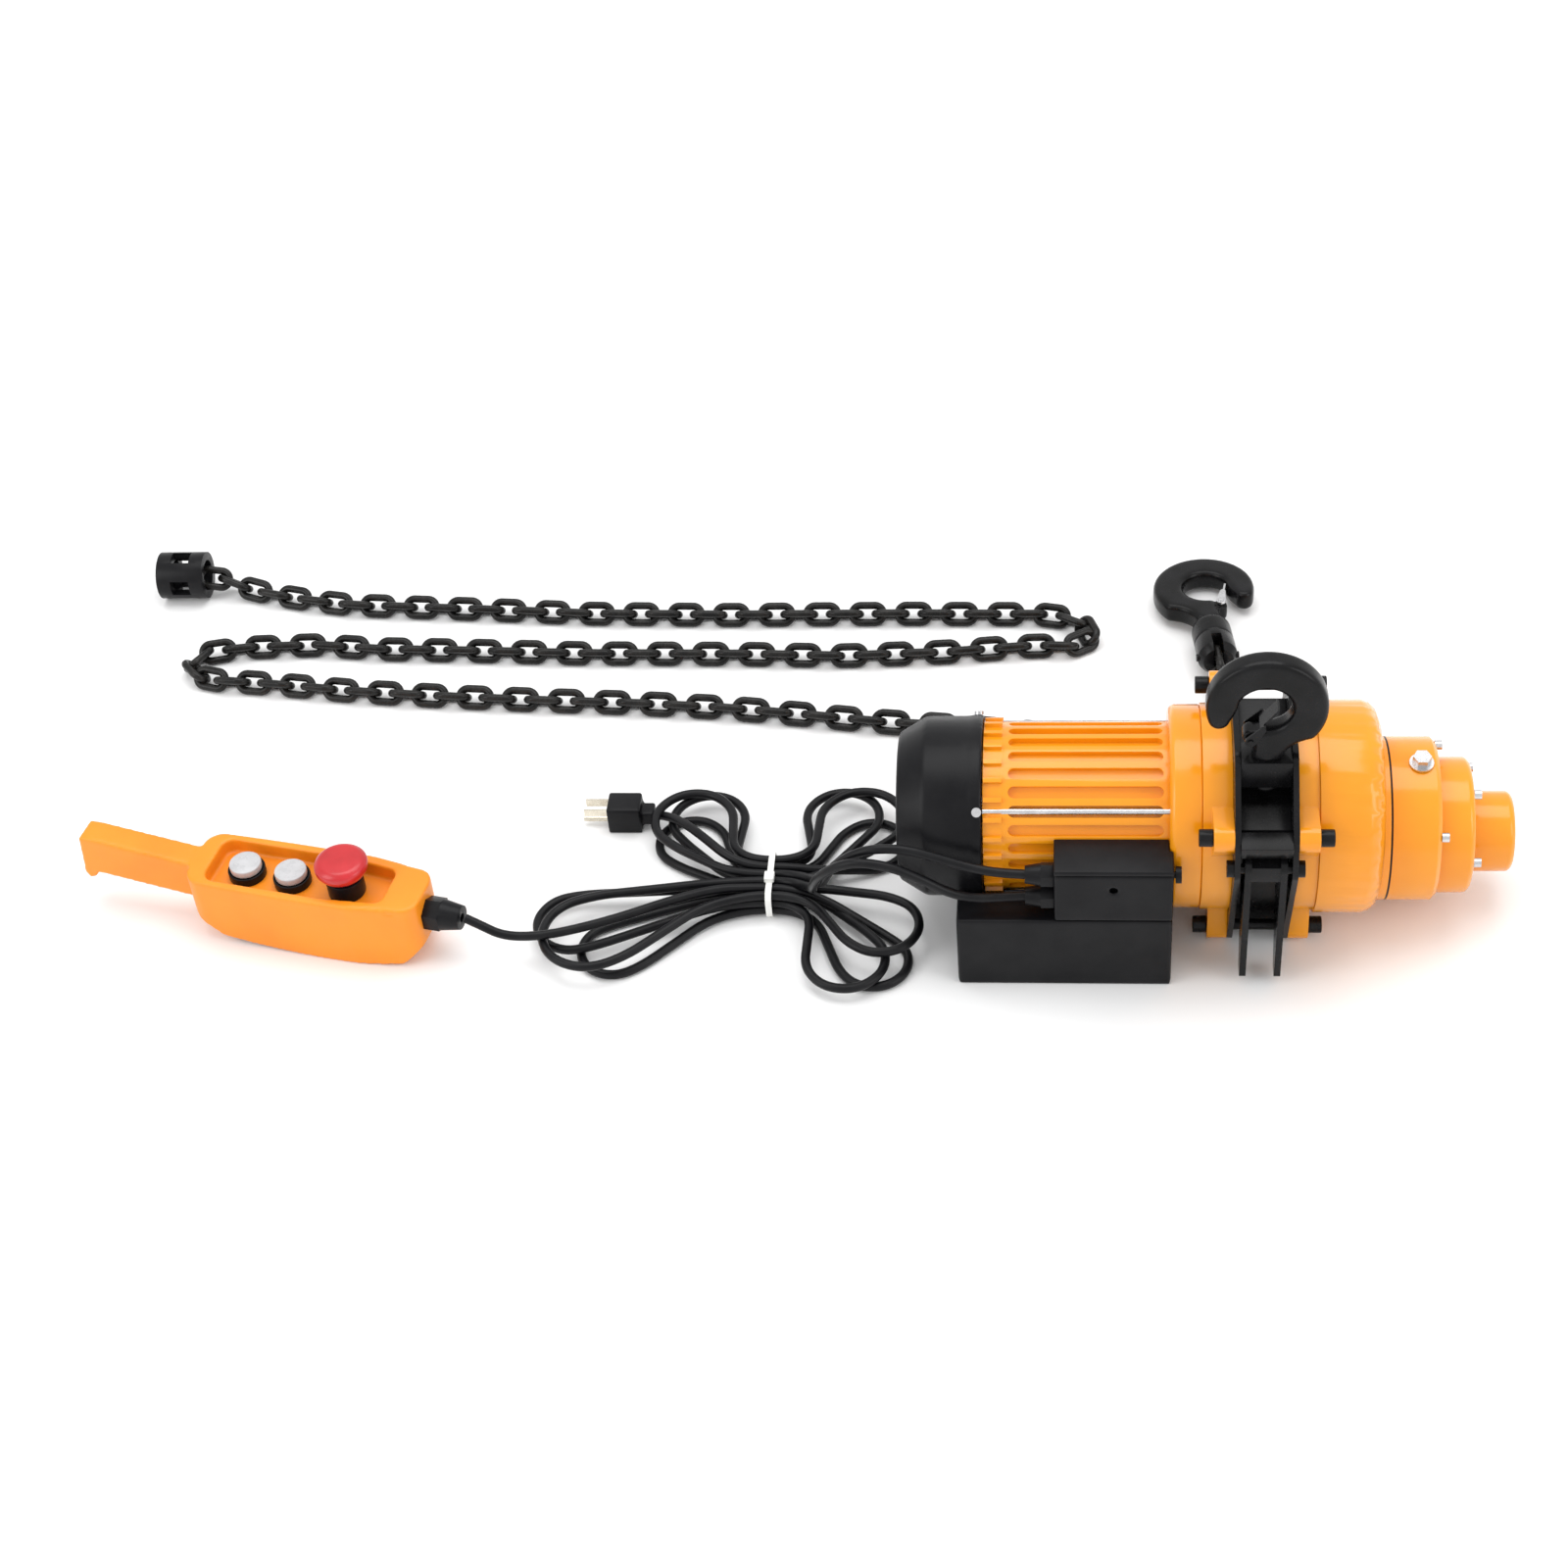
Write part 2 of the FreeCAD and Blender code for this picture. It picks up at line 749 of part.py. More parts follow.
def cup(left, length, radius, drop, opening, opening_drop):
    """A cover open on its left, its end wall bored for what passes into the next cover."""
    outside = turned(
        left,
        (f"{length} - 3", radius),
        (3, radius, f"{radius} - 3"),
        drop=drop,
    )
    inside = turned(left, (f"{length} - plate_thickness", f"{radius} - plate_thickness"), drop=drop)
    if opening is None:
        return cut(outside, inside)
    hole = cylinder(opening, length, (left, 0, -opening_drop))
    return cut(outside, inside, hole)


def covers():
    gasket = ring(
        "gear_cover_radius",
        "gear_cover_radius - plate_thickness",
        "gasket_thickness",
        (neck_right, 0, -s.gear_cover_drop),
    )
    node("gear_gasket", gasket, CASE)
    cover = cup(
        gear_cover_left,
        "gear_cover_length",
        "gear_cover_radius",
        s.gear_cover_drop,
        "brake_coil_radius - 2",
        s.shaft_distance,
    )
    plug_hole = standing(cylinder(4, 12, oil_plug_spot(-10), "z"), oil_plug_angle)
    node("gear_cover", cut(cover, plug_hole), CASE)
    cap = cup(
        gear_cover_right,
        "brake_cap_length",
        "brake_cap_radius",
        s.brake_cap_drop,
        "layshaft_bearing_radius - 2",
        s.shaft_distance,
    )
    node("brake_cap", cap, CASE)
    end = cup(brake_cap_right, "end_cap_length", "end_cap_radius", s.shaft_distance, None, 0)
    node("end_cap", end, CASE)


oil_plug_angle = 100


def oil_plug_spot(above):
    """A place on the oil plug's line, that far above the gear cover's surface."""
    return at_angle(oil_plug_angle, s.gear_cover_radius + above, gear_cover_right - 13, s.gear_cover_drop)


def oil_plug():
    """A hexagon plug over a washer, with its thread in the cover's wall."""
    thread = standing(cylinder(4, 7, oil_plug_spot(-6), "z"), oil_plug_angle)
    washer = standing(cylinder("oil_plug_radius + 2", 1.6, oil_plug_spot(0.3), "z"), oil_plug_angle)
    sizes = {"Polygon": 6, "Circumradius": "oil_plug_radius", "Height": 6}
    head = primitive("Prism", sizes, oil_plug_spot(1.9), facing(oil_plug_angle))
    node("oil_plug", fuse(thread, washer, head), CASE)


def cover_screws():
    """Cap screws on the end faces of the covers, and the flat screws round the fan cover's rim."""
    screws = []
    for angle in (45, 135, 225, 315):
        place = at_angle(angle, s.gear_cover_radius - 5, gear_cover_right, s.gear_cover_drop)
        reach = math.hypot(place[1], place[2] + s.brake_cap_drop)
        if reach > s.brake_cap_radius + s.screw_head_radius:
            screws.append(cylinder("screw_head_radius", "screw_head_length", place))
    for angle in (20, 90, 160):
        place = at_angle(angle, s.brake_cap_radius - 7, brake_cap_right, s.brake_cap_drop)
        reach = math.hypot(place[1], place[2] + s.shaft_distance)
        if reach > s.end_cap_radius + s.screw_head_radius:
            screws.append(cylinder("screw_head_radius", "screw_head_length", place))
    for angle in around(4, s.rod_turn):
        place = at_angle(angle, s.fan_cover_radius + 1, cover_right - s.fan_cover_rim / 2)
        screws.append(standing(cylinder("screw_head_radius", "flat_screw_height", place, "z"), angle))
    node("cover_screws", group(*screws), CASE)


def brake():
    """A spring-set brake on the layshaft: a fixed coil ring and the armature that grips the disc."""
    drop = s.shaft_distance
    coil_left = gear_cover_right - s.plate_thickness - s.brake_coil_length
    coil = ring("brake_coil_radius", "layshaft_radius + 3", "brake_coil_length", (coil_left, 0, -drop))
    armature = ring("brake_disc_radius - 3", "layshaft_radius + 2", 3, (gear_cover_right + 0.5, 0, -drop))
    spring_left = gear_cover_right + 5 + s.brake_disc_thickness + 0.6
    facing_width = brake_cap_right - s.plate_thickness - spring_left
    facing_at = (spring_left, 0, -drop)
    facing_ring = ring("brake_disc_radius - 3", "layshaft_radius + 6", facing_width, facing_at)
    node("brake_magnet", group(coil, armature, facing_ring), CASE)


# ---- hooks ----


def hook_outline():
    """A hook seen from its side: bowl centre at the origin, shank straight down, mouth to the left."""
    bowl = s.hook_bowl_radius
    outer = s.hook_outer_radius
    neck = s.hook_shank_radius
    lean = 3
    foot = -s.hook_bowl_rise + 12

    def at(radius, angle, shift=0.0):
        turn = math.radians(angle)
        return Vector(shift + radius * math.cos(turn), radius * math.sin(turn), 0)

    throat = at(bowl, -105)
    inner_tip = Vector(-bowl - 4.5, -10, 0)
    tip = Vector(-bowl - 12.5, -17, 0)
    outer_tip = Vector(-outer + 4, -11, 0)
    flank = at(outer, -38, 0.5)
    return [
        Part.LineSegment(Vector(lean - neck - 1, foot, 0), throat),
        Part.Arc(throat, at(bowl, 10), at(bowl, 160)),
        Part.Arc(at(bowl, 160), Vector(-bowl - 0.6, -2, 0), inner_tip),
        Part.Arc(inner_tip, tip, outer_tip),
        Part.Arc(outer_tip, at(outer - 1, 140), at(outer, 95, 0.5)),
        Part.Arc(at(outer, 95, 0.5), at(outer, 28, 0.5), flank),
        Part.Arc(flank, Vector(lean + neck + 7, -33, 0), Vector(lean + neck + 1, foot, 0)),
        Part.LineSegment(Vector(lean + neck + 1, foot, 0), Vector(lean - neck - 1, foot, 0)),
    ]


def rounded(thing, radius, wanted):
    """A fillet on the edges that wanted() picks."""
    soft = doc.addObject("Part::Fillet", "rounded")
    soft.Base = thing
    shape = thing.Shape
    soft.Edges = [(n, radius, radius) for n, edge in enumerate(shape.Edges, 1) if wanted(edge)]
    soft.recompute()
    return soft


def hook(shank_length):
    """A forged hook: a thick plate with rounded edges on a turned shank."""
    plate = pad(hook_outline(), "hook_thickness", turn=FRONT_ON, middle=True)
    foot = -s.hook_bowl_rise + 12
    half = s.hook_thickness / 2

    def on_face(edge):
        return all(abs(abs(v.Point.y) - half) < 0.01 for v in edge.Vertexes)

    def below(edge):
        return all(v.Point.z < foot + 0.01 for v in edge.Vertexes)

    soft = rounded(plate, 4, lambda edge: on_face(edge) and not below(edge))
    shank = cylinder("hook_shank_radius", shank_length, (3, 0, foot - shank_length), "z")
    boss = cylinder(5.5, "hook_thickness - 4", (LATCH_PIN[0], 2 - half, LATCH_PIN[1]), "y")
    pin_at = (LATCH_PIN[0], -half - 2, LATCH_PIN[1])
    pin_hole = cylinder("latch_pin_radius + 0.05", "hook_thickness + 4", pin_at, "y")
    return cut(fuse(soft, shank, boss), pin_hole)


LATCH_PIN = (-9, -25)


def latch(angle):
    """A sheet latch with a fork round the hook's neck, turned about its pin by an angle."""
    across = s.latch_width / 2
    start = 11
    low = -0.5 * s.latch_plate
    blade = box(f"latch_length - {start}", "latch_width", "latch_plate", (start, -across, low))
    ears = []
    inner = s.hook_thickness / 2 + s.slide_gap
    outline = belt([(0, 0, 4), (start + 2, 0, 2.2)])
    for side in (-1, 1):
        y = inner if side < 0 else -inner - s.latch_plate
        ears.append(pad(outline, "latch_plate", (0, y + s.latch_plate, 0), FRONT_ON))
    bridge_width = 2 * (inner + s.latch_plate)
    bridge = box(4, bridge_width, "latch_plate", (start, -bridge_width / 2, low))
    holes = cylinder("latch_pin_radius + 0.05", 2 * inner + 12, (0, -inner - 6, 0), "y")
    reach = inner + s.latch_plate + 1
    pin = cylinder("latch_pin_radius", 2 * reach, (0, -reach, 0), "y")
    whole = group(cut(fuse(blade, bridge, *ears), holes), pin)
    pin_place = Vector(LATCH_PIN[0], 0, LATCH_PIN[1])
    whole.Placement = Placement(pin_place, Rotation(Vector(0, 1, 0), -angle))
    return whole


# The hook hangs upright however the case lies, so its frame is turned back by the case's roll.
CROSSHEAD = CASE * Placement(
    Vector(room_middle, -s.crosshead_forward, s.crosshead_up), Rotation(Vector(1, 0, 0), -s.case_roll)
)
TOP_HOOK = CROSSHEAD * Placement(Vector(-3, 0, s.hook_bowl_rise), Rotation())


def crosshead():
    """A block on two stub pins between the side plates, bored for the hook's shank."""
    size = s.crosshead_size
    width = s.chain_room_width - 2 * s.slide_gap
    block = box(width, size, size, (-width / 2, -size / 2, -size / 2))
    reach = s.chain_room_width + 2 * s.side_plate_thickness
    pins = cylinder("crosshead_pin_radius", reach, (-reach / 2, 0, 0))
    bore = cylinder("hook_shank_radius + 0.08", 2 * size, (0, 0, -size), "z")
    node("crosshead", cut(fuse(block, pins), bore), CROSSHEAD)


def top_hook():
    nut_thickness = 3.4
    below = s.hook_bowl_rise + s.crosshead_size / 2 + s.slide_gap + nut_thickness
    body = hook(12 + s.crosshead_size / 2 + nut_thickness + 1.5)
    nut = ring("hook_shank_radius + 3", "hook_shank_radius", nut_thickness, (3, 0, -below), "z")
    node("top_hook", group(body, nut), TOP_HOOK)
    node("top_latch", latch(TOP_LATCH_ANGLE), TOP_HOOK)


TOP_LATCH_ANGLE = 53
LOAD_LATCH_ANGLE = 105

# ---- limit fork ----

FORK = CASE * Placement(
    Vector(0, -s.fork_pivot_forward, s.fork_pivot_up), Rotation(Vector(1, 0, 0), -s.case_roll)
)


def limit_fork():
    """Two hanging blades joined by a block round the pivot bolt."""
    low = -s.fork_drop + 3
    blade = belt([(-2, low, 3), (5, low, 3), (s.fork_depth - 12, -40, 6), (4, 4, 7), (-1, 2, 7)])
    pieces = []
    half = s.fork_width / 2
    for x in (room_middle - half, room_middle + half - s.fork_blade_thickness):
        pieces.append(pad(blade, "fork_blade_thickness", (x, 0, 0), SIDE_ON))
    inner = s.fork_width - 2 * s.fork_blade_thickness
    pieces.append(box(inner, 13, 13, (room_middle - inner / 2, -6.5, -6.5)))
    hole = cylinder("fork_pivot_radius + 0.06", "2 * fork_width", (room_middle - s.fork_width, 0, 0))
    node("limit_fork", cut(fuse(*pieces), hole), FORK)


def fork_pivot():
    reach = plate_right - casting_right
    bolt = cylinder("fork_pivot_radius", reach, (casting_right, 0, 0))
    left_at = casting_right - s.fork_head_length + 4
    left = cylinder("fork_head_radius", "fork_head_length - 4", (left_at, 0, 0))
    right = cylinder("fork_head_radius", "fork_head_length - 4", (plate_right, 0, 0))
    node("fork_pivot", fuse(bolt, left, right), FORK)


# ---- electrical box ----


def motor_relief(radius):
    """What the box leaves free for the motor, and for the wider flange at its right."""
    along = cylinder(radius, "box_length + 20", (s.box_left - 10, 0, s.axis_height))
    flange = cylinder("flange_radius + slide_gap", 20, (housing_right - s.slide_gap, 0, s.axis_height))
    return fuse(along, flange)


def box_shell():
    """The lower box: its saddle fits under the motor, and its room is open into the control box."""
    front = -s.box_front
    outer = box("box_length", "box_depth", "box_height", (s.box_left, front, 0))
    wall = s.wall_thickness
    room = box(
        "box_length - 2 * wall_thickness",
        "box_depth - 2 * wall_thickness",
        "box_height - 2 * wall_thickness",
        (s.box_left + wall, front + wall, wall),
    )
    saddle = motor_relief("fan_cover_radius + 1 + flat_screw_height + slide_gap")
    thick_saddle = cylinder(
        "flange_radius + slide_gap + wall_thickness", "box_length", (s.box_left, 0, s.axis_height)
    )
    through = box(
        "control_box_length - 2 * wall_thickness",
        "box_front - flange_radius - 6",
        "2 * wall_thickness",
        (s.control_box_left + wall, front + wall, s.box_height - wall - 1),
    )
    hollow = cut(room, thick_saddle)
    node("electrical_box", cut(outer, saddle, hollow, through), FLOOR)


def control_box():
    """The taller box on top of the lower one, open below and closed by a lid above."""
    front = -s.box_front
    wall = s.wall_thickness
    height = "control_box_top - box_height - control_lid_thickness"
    left = s.control_box_left
    shell = box("control_box_length", "control_box_depth", height, (left, front, s.box_height))
    saddle = motor_relief("housing_radius + slide_gap")
    room = box(
        "control_box_length - 2 * wall_thickness",
        "control_box_depth - 2 * wall_thickness",
        height,
        (left + wall, front + wall, s.box_height),
    )
    thick_saddle = cylinder(
        "housing_radius + slide_gap + wall_thickness", "box_length", (s.box_left, 0, s.axis_height)
    )
    holes = [
        cylinder(5, "2 * wall_thickness", (left - 1, gland_y, level))
        for level in (s.upper_gland_height, s.lower_gland_height)
    ]
    holes.append(cylinder(3, "2 * wall_thickness", (left + s.control_box_length / 2, front - 1, 94), "y"))
    holes.append(cylinder(2.5, 10, (left + s.control_box_length - 6, gland_y, thumb_screw_height)))
    node("control_box", cut(shell, saddle, cut(room, thick_saddle), *holes), FLOOR)
    lid_at = (left, front, s.control_box_top - s.control_lid_thickness)
    lid = box("control_box_length", "control_box_depth", "control_lid_thickness", lid_at)
    node("control_lid", cut(lid, motor_relief("housing_radius + slide_gap")), FLOOR)


gland_y = -s.box_front + 12
thumb_screw_height = 99


def thumb_screw():
    right = s.control_box_left + s.control_box_length
    head = cylinder(6, 4, (right + 1.5, gland_y, thumb_screw_height))
    neck = cylinder(2.5, 7.5, (right - 6, gland_y, thumb_screw_height))
    node("thumb_screw", fuse(head, neck), FLOOR)


def box_glands():
    """Cord glands on the control box's left side: a hexagon, a ribbed dome and a bore for the cord."""
    glands = [
        gland(s.gland_radius, s.gland_length, (s.control_box_left, gland_y, level))
        for level in (s.upper_gland_height, s.lower_gland_height)
    ]
    node("box_glands", group(*glands), FLOOR)


def gland(radius, length, at):
    """A gland that points to -X from its seat."""
    x, y, z = at
    sizes = {"Polygon": 6, "Circumradius": radius, "Height": length * 0.45}
    hexagon = primitive("Prism", sizes, (x - length * 0.45, y, z), ALONG["x"])
    nut = cone(radius * 0.7, radius * 0.9, length * 0.55, (x - length, y, z))
    bore = cylinder("cord_radius", length, (x - length, y, z))
    return cut(fuse(hexagon, nut), bore)


def box_contents():
    y = -s.box_front + s.wall_thickness + s.capacitor_radius + 1
    z = s.wall_thickness + s.capacitor_radius + 1
    left = s.box_left + 8
    starts = (left, left + s.capacitor_length + 6)
    cans = [cylinder("capacitor_radius", "capacitor_length", (start, y, z)) for start in starts]
    corner = (s.control_box_left + 18, -s.box_front + s.wall_thickness + 2, s.box_height + 2)
    contactor = box(44, 12, 30, corner)
    node("box_contents", group(*cans, contactor), FLOOR)


# ---- pendant control, in its own frame: X from the handle's end to the gland ----


def pendant_plan(inset, start, end):
    """The pendant's outline from above, drawn in by an inset."""
    wide = s.pendant_width / 2 - 14
    nose = s.pendant_nose_width / 2 - 4
    return belt(
        [
            (start + 14, -wide, 14 - inset),
            (end - 52, -wide, 14 - inset),
            (end - 12, -nose, 12 - inset),
            (end - 12, nose, 12 - inset),
            (end - 52, wide, 14 - inset),
            (start + 14, wide, 14 - inset),
        ]
    )


def pendant():
    start, end = s.pendant_body_start, s.pendant_length
    top = s.pendant_height
    whole = pad(pendant_plan(0, start, end), "pendant_height")
    bottom = [(start - 2, 24), (start + 24, 0), (end - 16, 0), (end + 2, 20)]
    keel_side = [*bottom, (end + 2, top), (start - 2, top)]
    keel = pad(polygon(keel_side), "pendant_width + 20", turn=FRONT_ON, middle=True)
    hull = common(whole, keel)
    lip = [(-5, 31), (-2, 26), (3, 27), (7, 33)]
    handle_side = [*lip, (start + 4, 23), (start + 4, top - 1), (8, top + 9), (-1, top + 9)]
    handle = pad(polygon(handle_side), "handle_width", turn=FRONT_ON, middle=True)
    face = (0, 0, s.pendant_face_height)
    recess = pad(pendant_plan(5, start + 10, s.stop_button + 40), "pendant_height", face)
    cavity_top = s.pendant_face_height - s.wall_thickness
    cavity = pad(pendant_plan(s.wall_thickness, start + 24, end - 14), cavity_top)
    holes = [
        cylinder(radius, "pendant_height", (x, 0, 5), "z")
        for x, radius in ((s.first_button, 6.5), (s.second_button, 6.5), (s.stop_button, 7.5))
    ]
    gland_hole = cylinder(6, 24, (end - 20, 0, s.pendant_gland_height))
    shell = cut(fuse(hull, handle), recess, cavity, *holes, gland_hole)
    node("pendant_shell", shell, PENDANT)
    lid = pad(pendant_plan(s.wall_thickness + s.slide_gap, start + 24, end - 14), "wall_thickness")
    node("pendant_base", lid, PENDANT)


def pendant_buttons():
    """Two push buttons in collars and a mushroom stop, over their contact blocks."""
    face = s.pendant_face_height
    collars = []
    blocks = []
    for x in (s.first_button, s.second_button):
        rim = ring("collar_radius", "button_radius + 0.4", 7, (x, 0, face), "z")
        floor = ring("button_radius + 0.4", 6.5, 2.2, (x, 0, face), "z")
        collars.append(fuse(rim, floor))
        blocks.append(box(22, 24, 22, (x - 11, -12, 8)))
    for label, x in (("up_button", s.first_button), ("down_button", s.second_button)):
        cap = cylinder("button_radius", 6, (x, 0, face + 2.2 + s.button_travel + 0.6), "z")
        stem = cylinder(6, 16, (x, 0, face - 8), "z")
        node(label, fuse(cap, stem), PENDANT)
    x = s.stop_button
    base = cut(
        cylinder("stop_base_radius", 15, (x, 0, face), "z"),
        cylinder(7.5, 15, (x, 0, face), "z"),
    )
    node("button_collars", group(*collars, base), PENDANT)
    blocks.append(box(22, 24, 22, (x - 11, -12, 8)))
    head_at = face + 15 + s.stop_travel + 0.6
    head = cone("mushroom_radius - 3", "mushroom_radius", 5, (x, 0, head_at), "z")
    brim = cylinder("mushroom_radius", 5, (x, 0, head_at + 5), "z")
    crown = cone("mushroom_radius", "mushroom_radius - 4", 3, (x, 0, head_at + 10), "z")
    stem = cylinder(7, head_at - face + 10, (x, 0, face - 10), "z")
    node("stop_button", fuse(head, brim, crown, stem), PENDANT)
    node("contact_blocks", group(*blocks), PENDANT)


def pendant_gland():
    turn = Placement(Vector(s.pendant_length, 0, s.pendant_gland_height), Rotation(Vector(0, 0, 1), 180))
    piece = gland(13, 27, (0, 0, 0))
    piece.Placement = turn
    node("pendant_gland", piece, PENDANT)


# ---- load chain ----


def link(centre, along, flat_way, roll):
    """One welded link, long along a direction, wide along flat_way turned about it by the roll."""
    wire = s.chain_wire / 2
    bend = s.chain_width / 2 - wire
    half = (s.chain_pitch + s.link_play) / 2 + wire - bend
    limbs = []
    for side in (-1, 1):
        limbs.append(Part.makeCylinder(wire, 2 * half, Vector(-half, side * bend, 0), Vector(1, 0, 0)))
        turn = Vector(0, 0, 1)
        arch = Part.makeTorus(bend, wire, Vector(side * half, 0, 0), turn, 0, 360, 180)
        arch.rotate(Vector(side * half, 0, 0), turn, -90 if side > 0 else 90)
        limbs.append(arch)
    shape = limbs[0].fuse(limbs[1:])
    lie = Rotation(along, flat_way, along.cross(flat_way), "XYZ") * Rotation(Vector(1, 0, 0), roll)
    shape.Placement = Placement(centre, lie)
    return shape


def walk(points, pitch):
    """Joints one pitch apart, each on the route through the points."""
    joints = [points[0]]
    goal = 1
    while goal < len(points):
        here = joints[-1]
        target = points[goal]
        if (target - here).Length <= pitch:
            goal += 1
            continue
        back = points[goal - 1]
        way = (target - back).normalize()
        foot = back + way * (here - back).dot(way)
        off = (here - foot).Length
        joints.append(foot + way * math.sqrt(max(pitch**2 - off**2, 0)))
    return joints


def chain(label, joints, first, roll_of):
    """Links between joints, numbered from first, each square to the one before it."""
    links = []
    for number, (a, b) in enumerate(zip(joints, joints[1:]), first):
        along = (b - a).normalize()
        sideways = Vector(1, 0, 0) if abs(along.x) < 0.4 else Vector(0, 0, 1).cross(along)
        flat_way = (sideways - along * sideways.dot(along)).normalize()
        links.append(link((a + b) / 2, along, flat_way, roll_of(number) + 90 * (number % 2)))
    piece = doc.addObject("Part::Feature", "chain")
    piece.Shape = Part.makeCompound(links)
    node(label, piece, Placement())


CHAIN_Z = 8.7
SLACK_ROWS = [
    [(104, 60), (88, 96), (50, 138), (-20, 168), (-109, 180), (-152, 184), (-222, 194)],
    [(-282, 202), (-357, 208), (-436, 212), (-511, 217), (-591, 224), (-641, 231), (-682, 236), (-718, 239)],
    [(-733, 246), (-741, 261), (-730, 274), (-700, 281), (-636, 284), (-578, 278), (-497, 275), (-408, 271)],
    [(-272, 269), (-192, 266), (-108, 270), (-32, 278), (-8, 276), (8, 279), (13, 292), (4, 305), (-12, 314)],
    [(-30, 318), (-142, 320), (-293, 320), (-407, 323), (-506, 330), (-617, 337), (-664, 346), (-708, 358)],
]
STOPPER = (-768, 366, 20)


def on_floor(places):
    return [FLOOR.multVec(Vector(*place)) for place in places]


def load_chain():
    """The run from the swivel to the case, the run over the sheave and the slack run on the floor."""
    radius = chain_line_radius()
    swivel = LOAD_HOOK.multVec(Vector(0, swivel_bolt_y + 3.2, 0))
    run_out = on_floor([(116, 208, 11.3), (124, 150, 11.3), (128, 105, 12), (128.5, 76, 16)])
    back = [CASE.multVec(Vector(room_middle, radius, z)) for z in (-70, 0)]
    turns = [Rotation(Vector(1, 0, 0), angle) for angle in range(12, 180, 12)]
    over = [CASE.multVec(turn.multVec(Vector(room_middle, radius, 0))) for turn in turns]
    front = [CASE.multVec(Vector(room_middle, -radius, z)) for z in (0, -44)]
    under = on_floor([(128.3, -5, 24.5), (127.5, 12, 15.5), (120, 30, 9.5)])
    slack = on_floor([(x, y, CHAIN_Z) for row in SLACK_ROWS for x, y in row])
    end = on_floor([(-734, 365, 16), STOPPER])
    joints = walk([swivel, *run_out, *back, *over, *front, *under, *slack, *end], s.chain_pitch)
    leaving = front[1]
    inner = 1 + next(n for n, p in enumerate(joints) if n > 12 and (p - leaving).Length < 1.2 * s.chain_pitch)
    twist = 6

    def bend_at(number):
        before, here, after = joints[number - 1 : number + 2]
        return (here - before).getAngle(after - here)

    def roll_of(number):
        """Square to the sheave in the case, easing to a diagonal lie on the floor."""
        return 90 if number < inner else 90 + 45 * min(1, (number - inner + 1) / twist)

    parting = min(range(inner, inner + 12), key=bend_at)
    half = (inner + len(joints)) // 2
    middle = min(range(half - 6, half + 6), key=bend_at)
    spans = (
        ("load_chain", 0, parting),
        ("slack_chain_near", parting, middle),
        ("slack_chain_far", middle, len(joints)),
    )
    for label, first, last in spans:
        chain(label, joints[first : last + 1], first, roll_of)
    print(len(joints) - 1, "links")


def chain_stopper():
    """A round stop with side windows, clamped on the chain's free end."""
    x, y, z = STOPPER
    drum = cylinder(20, 40, (x - 20, y, z))
    bore = cylinder(13, 40, (x - 20, y, z))
    windows = [
        box(16, 60, 14, (x - 8, y - 30, z - 7)),
        box(16, 14, 60, (x - 8, y - 7, z - 30)),
    ]
    end = cylinder(20, 4, (x - 20, y, z))
    node("chain_stopper", fuse(cut(drum, bore, *windows), end), FLOOR)


# ---- load hook on its swivel ----

swivel_bolt_y = -15
LOAD_HOOK = FLOOR * Placement(
    Vector(109.5, 265, 18.3), Rotation(Vector(0, 0, 1), 6.3) * Rotation(Vector(1, 0, 0), -4)
)
# In this frame the hook points along +Y and lies flat, its mouth to +X.
HOOK_CENTRE_Y = 73
HOOK_LIE = Placement(Vector(3, HOOK_CENTRE_Y, 0), Rotation(Vector(1, 0, 0), -90)) * Placement(
    Vector(0, 0, 0), Rotation(Vector(0, 0, 1), 180)
)


def load_hook():
    """The swivel's chain half, and the hook with its collar half."""
    chain_half = turned_y(-22, (6, 12, "swivel_radius"), ("swivel_length - 7", "swivel_radius"))
    corner = (-0.5 * s.chain_wire - 0.85, -22.5, -s.swivel_radius - 1)
    link_slot = box("chain_wire + 1.7", 17.5, "2 * swivel_radius + 2", corner)
    stem_bore = cylinder("swivel_stem_radius + bearing_fit", 8, (0, -6, 0), "y")
    bolt_hole = cylinder(3, 34, (-17, swivel_bolt_y, 0))
    bolt = cylinder(3, 34, (-17, swivel_bolt_y, 0))
    node("swivel_socket", group(cut(chain_half, link_slot, stem_bore, bolt_hole), bolt), LOAD_HOOK)
    face = 1 + s.slide_gap
    collar = turned_y(face, ("swivel_length - 4", "swivel_radius"), (4, "swivel_radius", 12))
    stem = cylinder("swivel_stem_radius", 6, (0, -4.7, 0), "y")
    shank_bore = cylinder("hook_shank_radius", "swivel_length + 4", (0, face, 0), "y")
    body = hook(HOOK_CENTRE_Y - s.hook_bowl_rise + 12 - face)
    body.Placement = HOOK_LIE * body.Placement
    node("load_hook", group(fuse(body, stem), cut(collar, shank_bore)), LOAD_HOOK)
    piece = latch(LOAD_LATCH_ANGLE)
    piece.Placement = HOOK_LIE * piece.Placement
    node("load_latch", piece, LOAD_HOOK)


def turned_y(y, *steps):
    """Round steps along Y from y."""
    stack = []
    for length, *radii in steps:
        if len(radii) == 1:
            stack.append(cylinder(radii[0], length, (0, y, 0), "y"))
        else:
            stack.append(cone(*radii, length, (0, y, 0), "y"))
        y += stack[-1].Height.Value
    return fuse(*stack)


# ---- cords ----


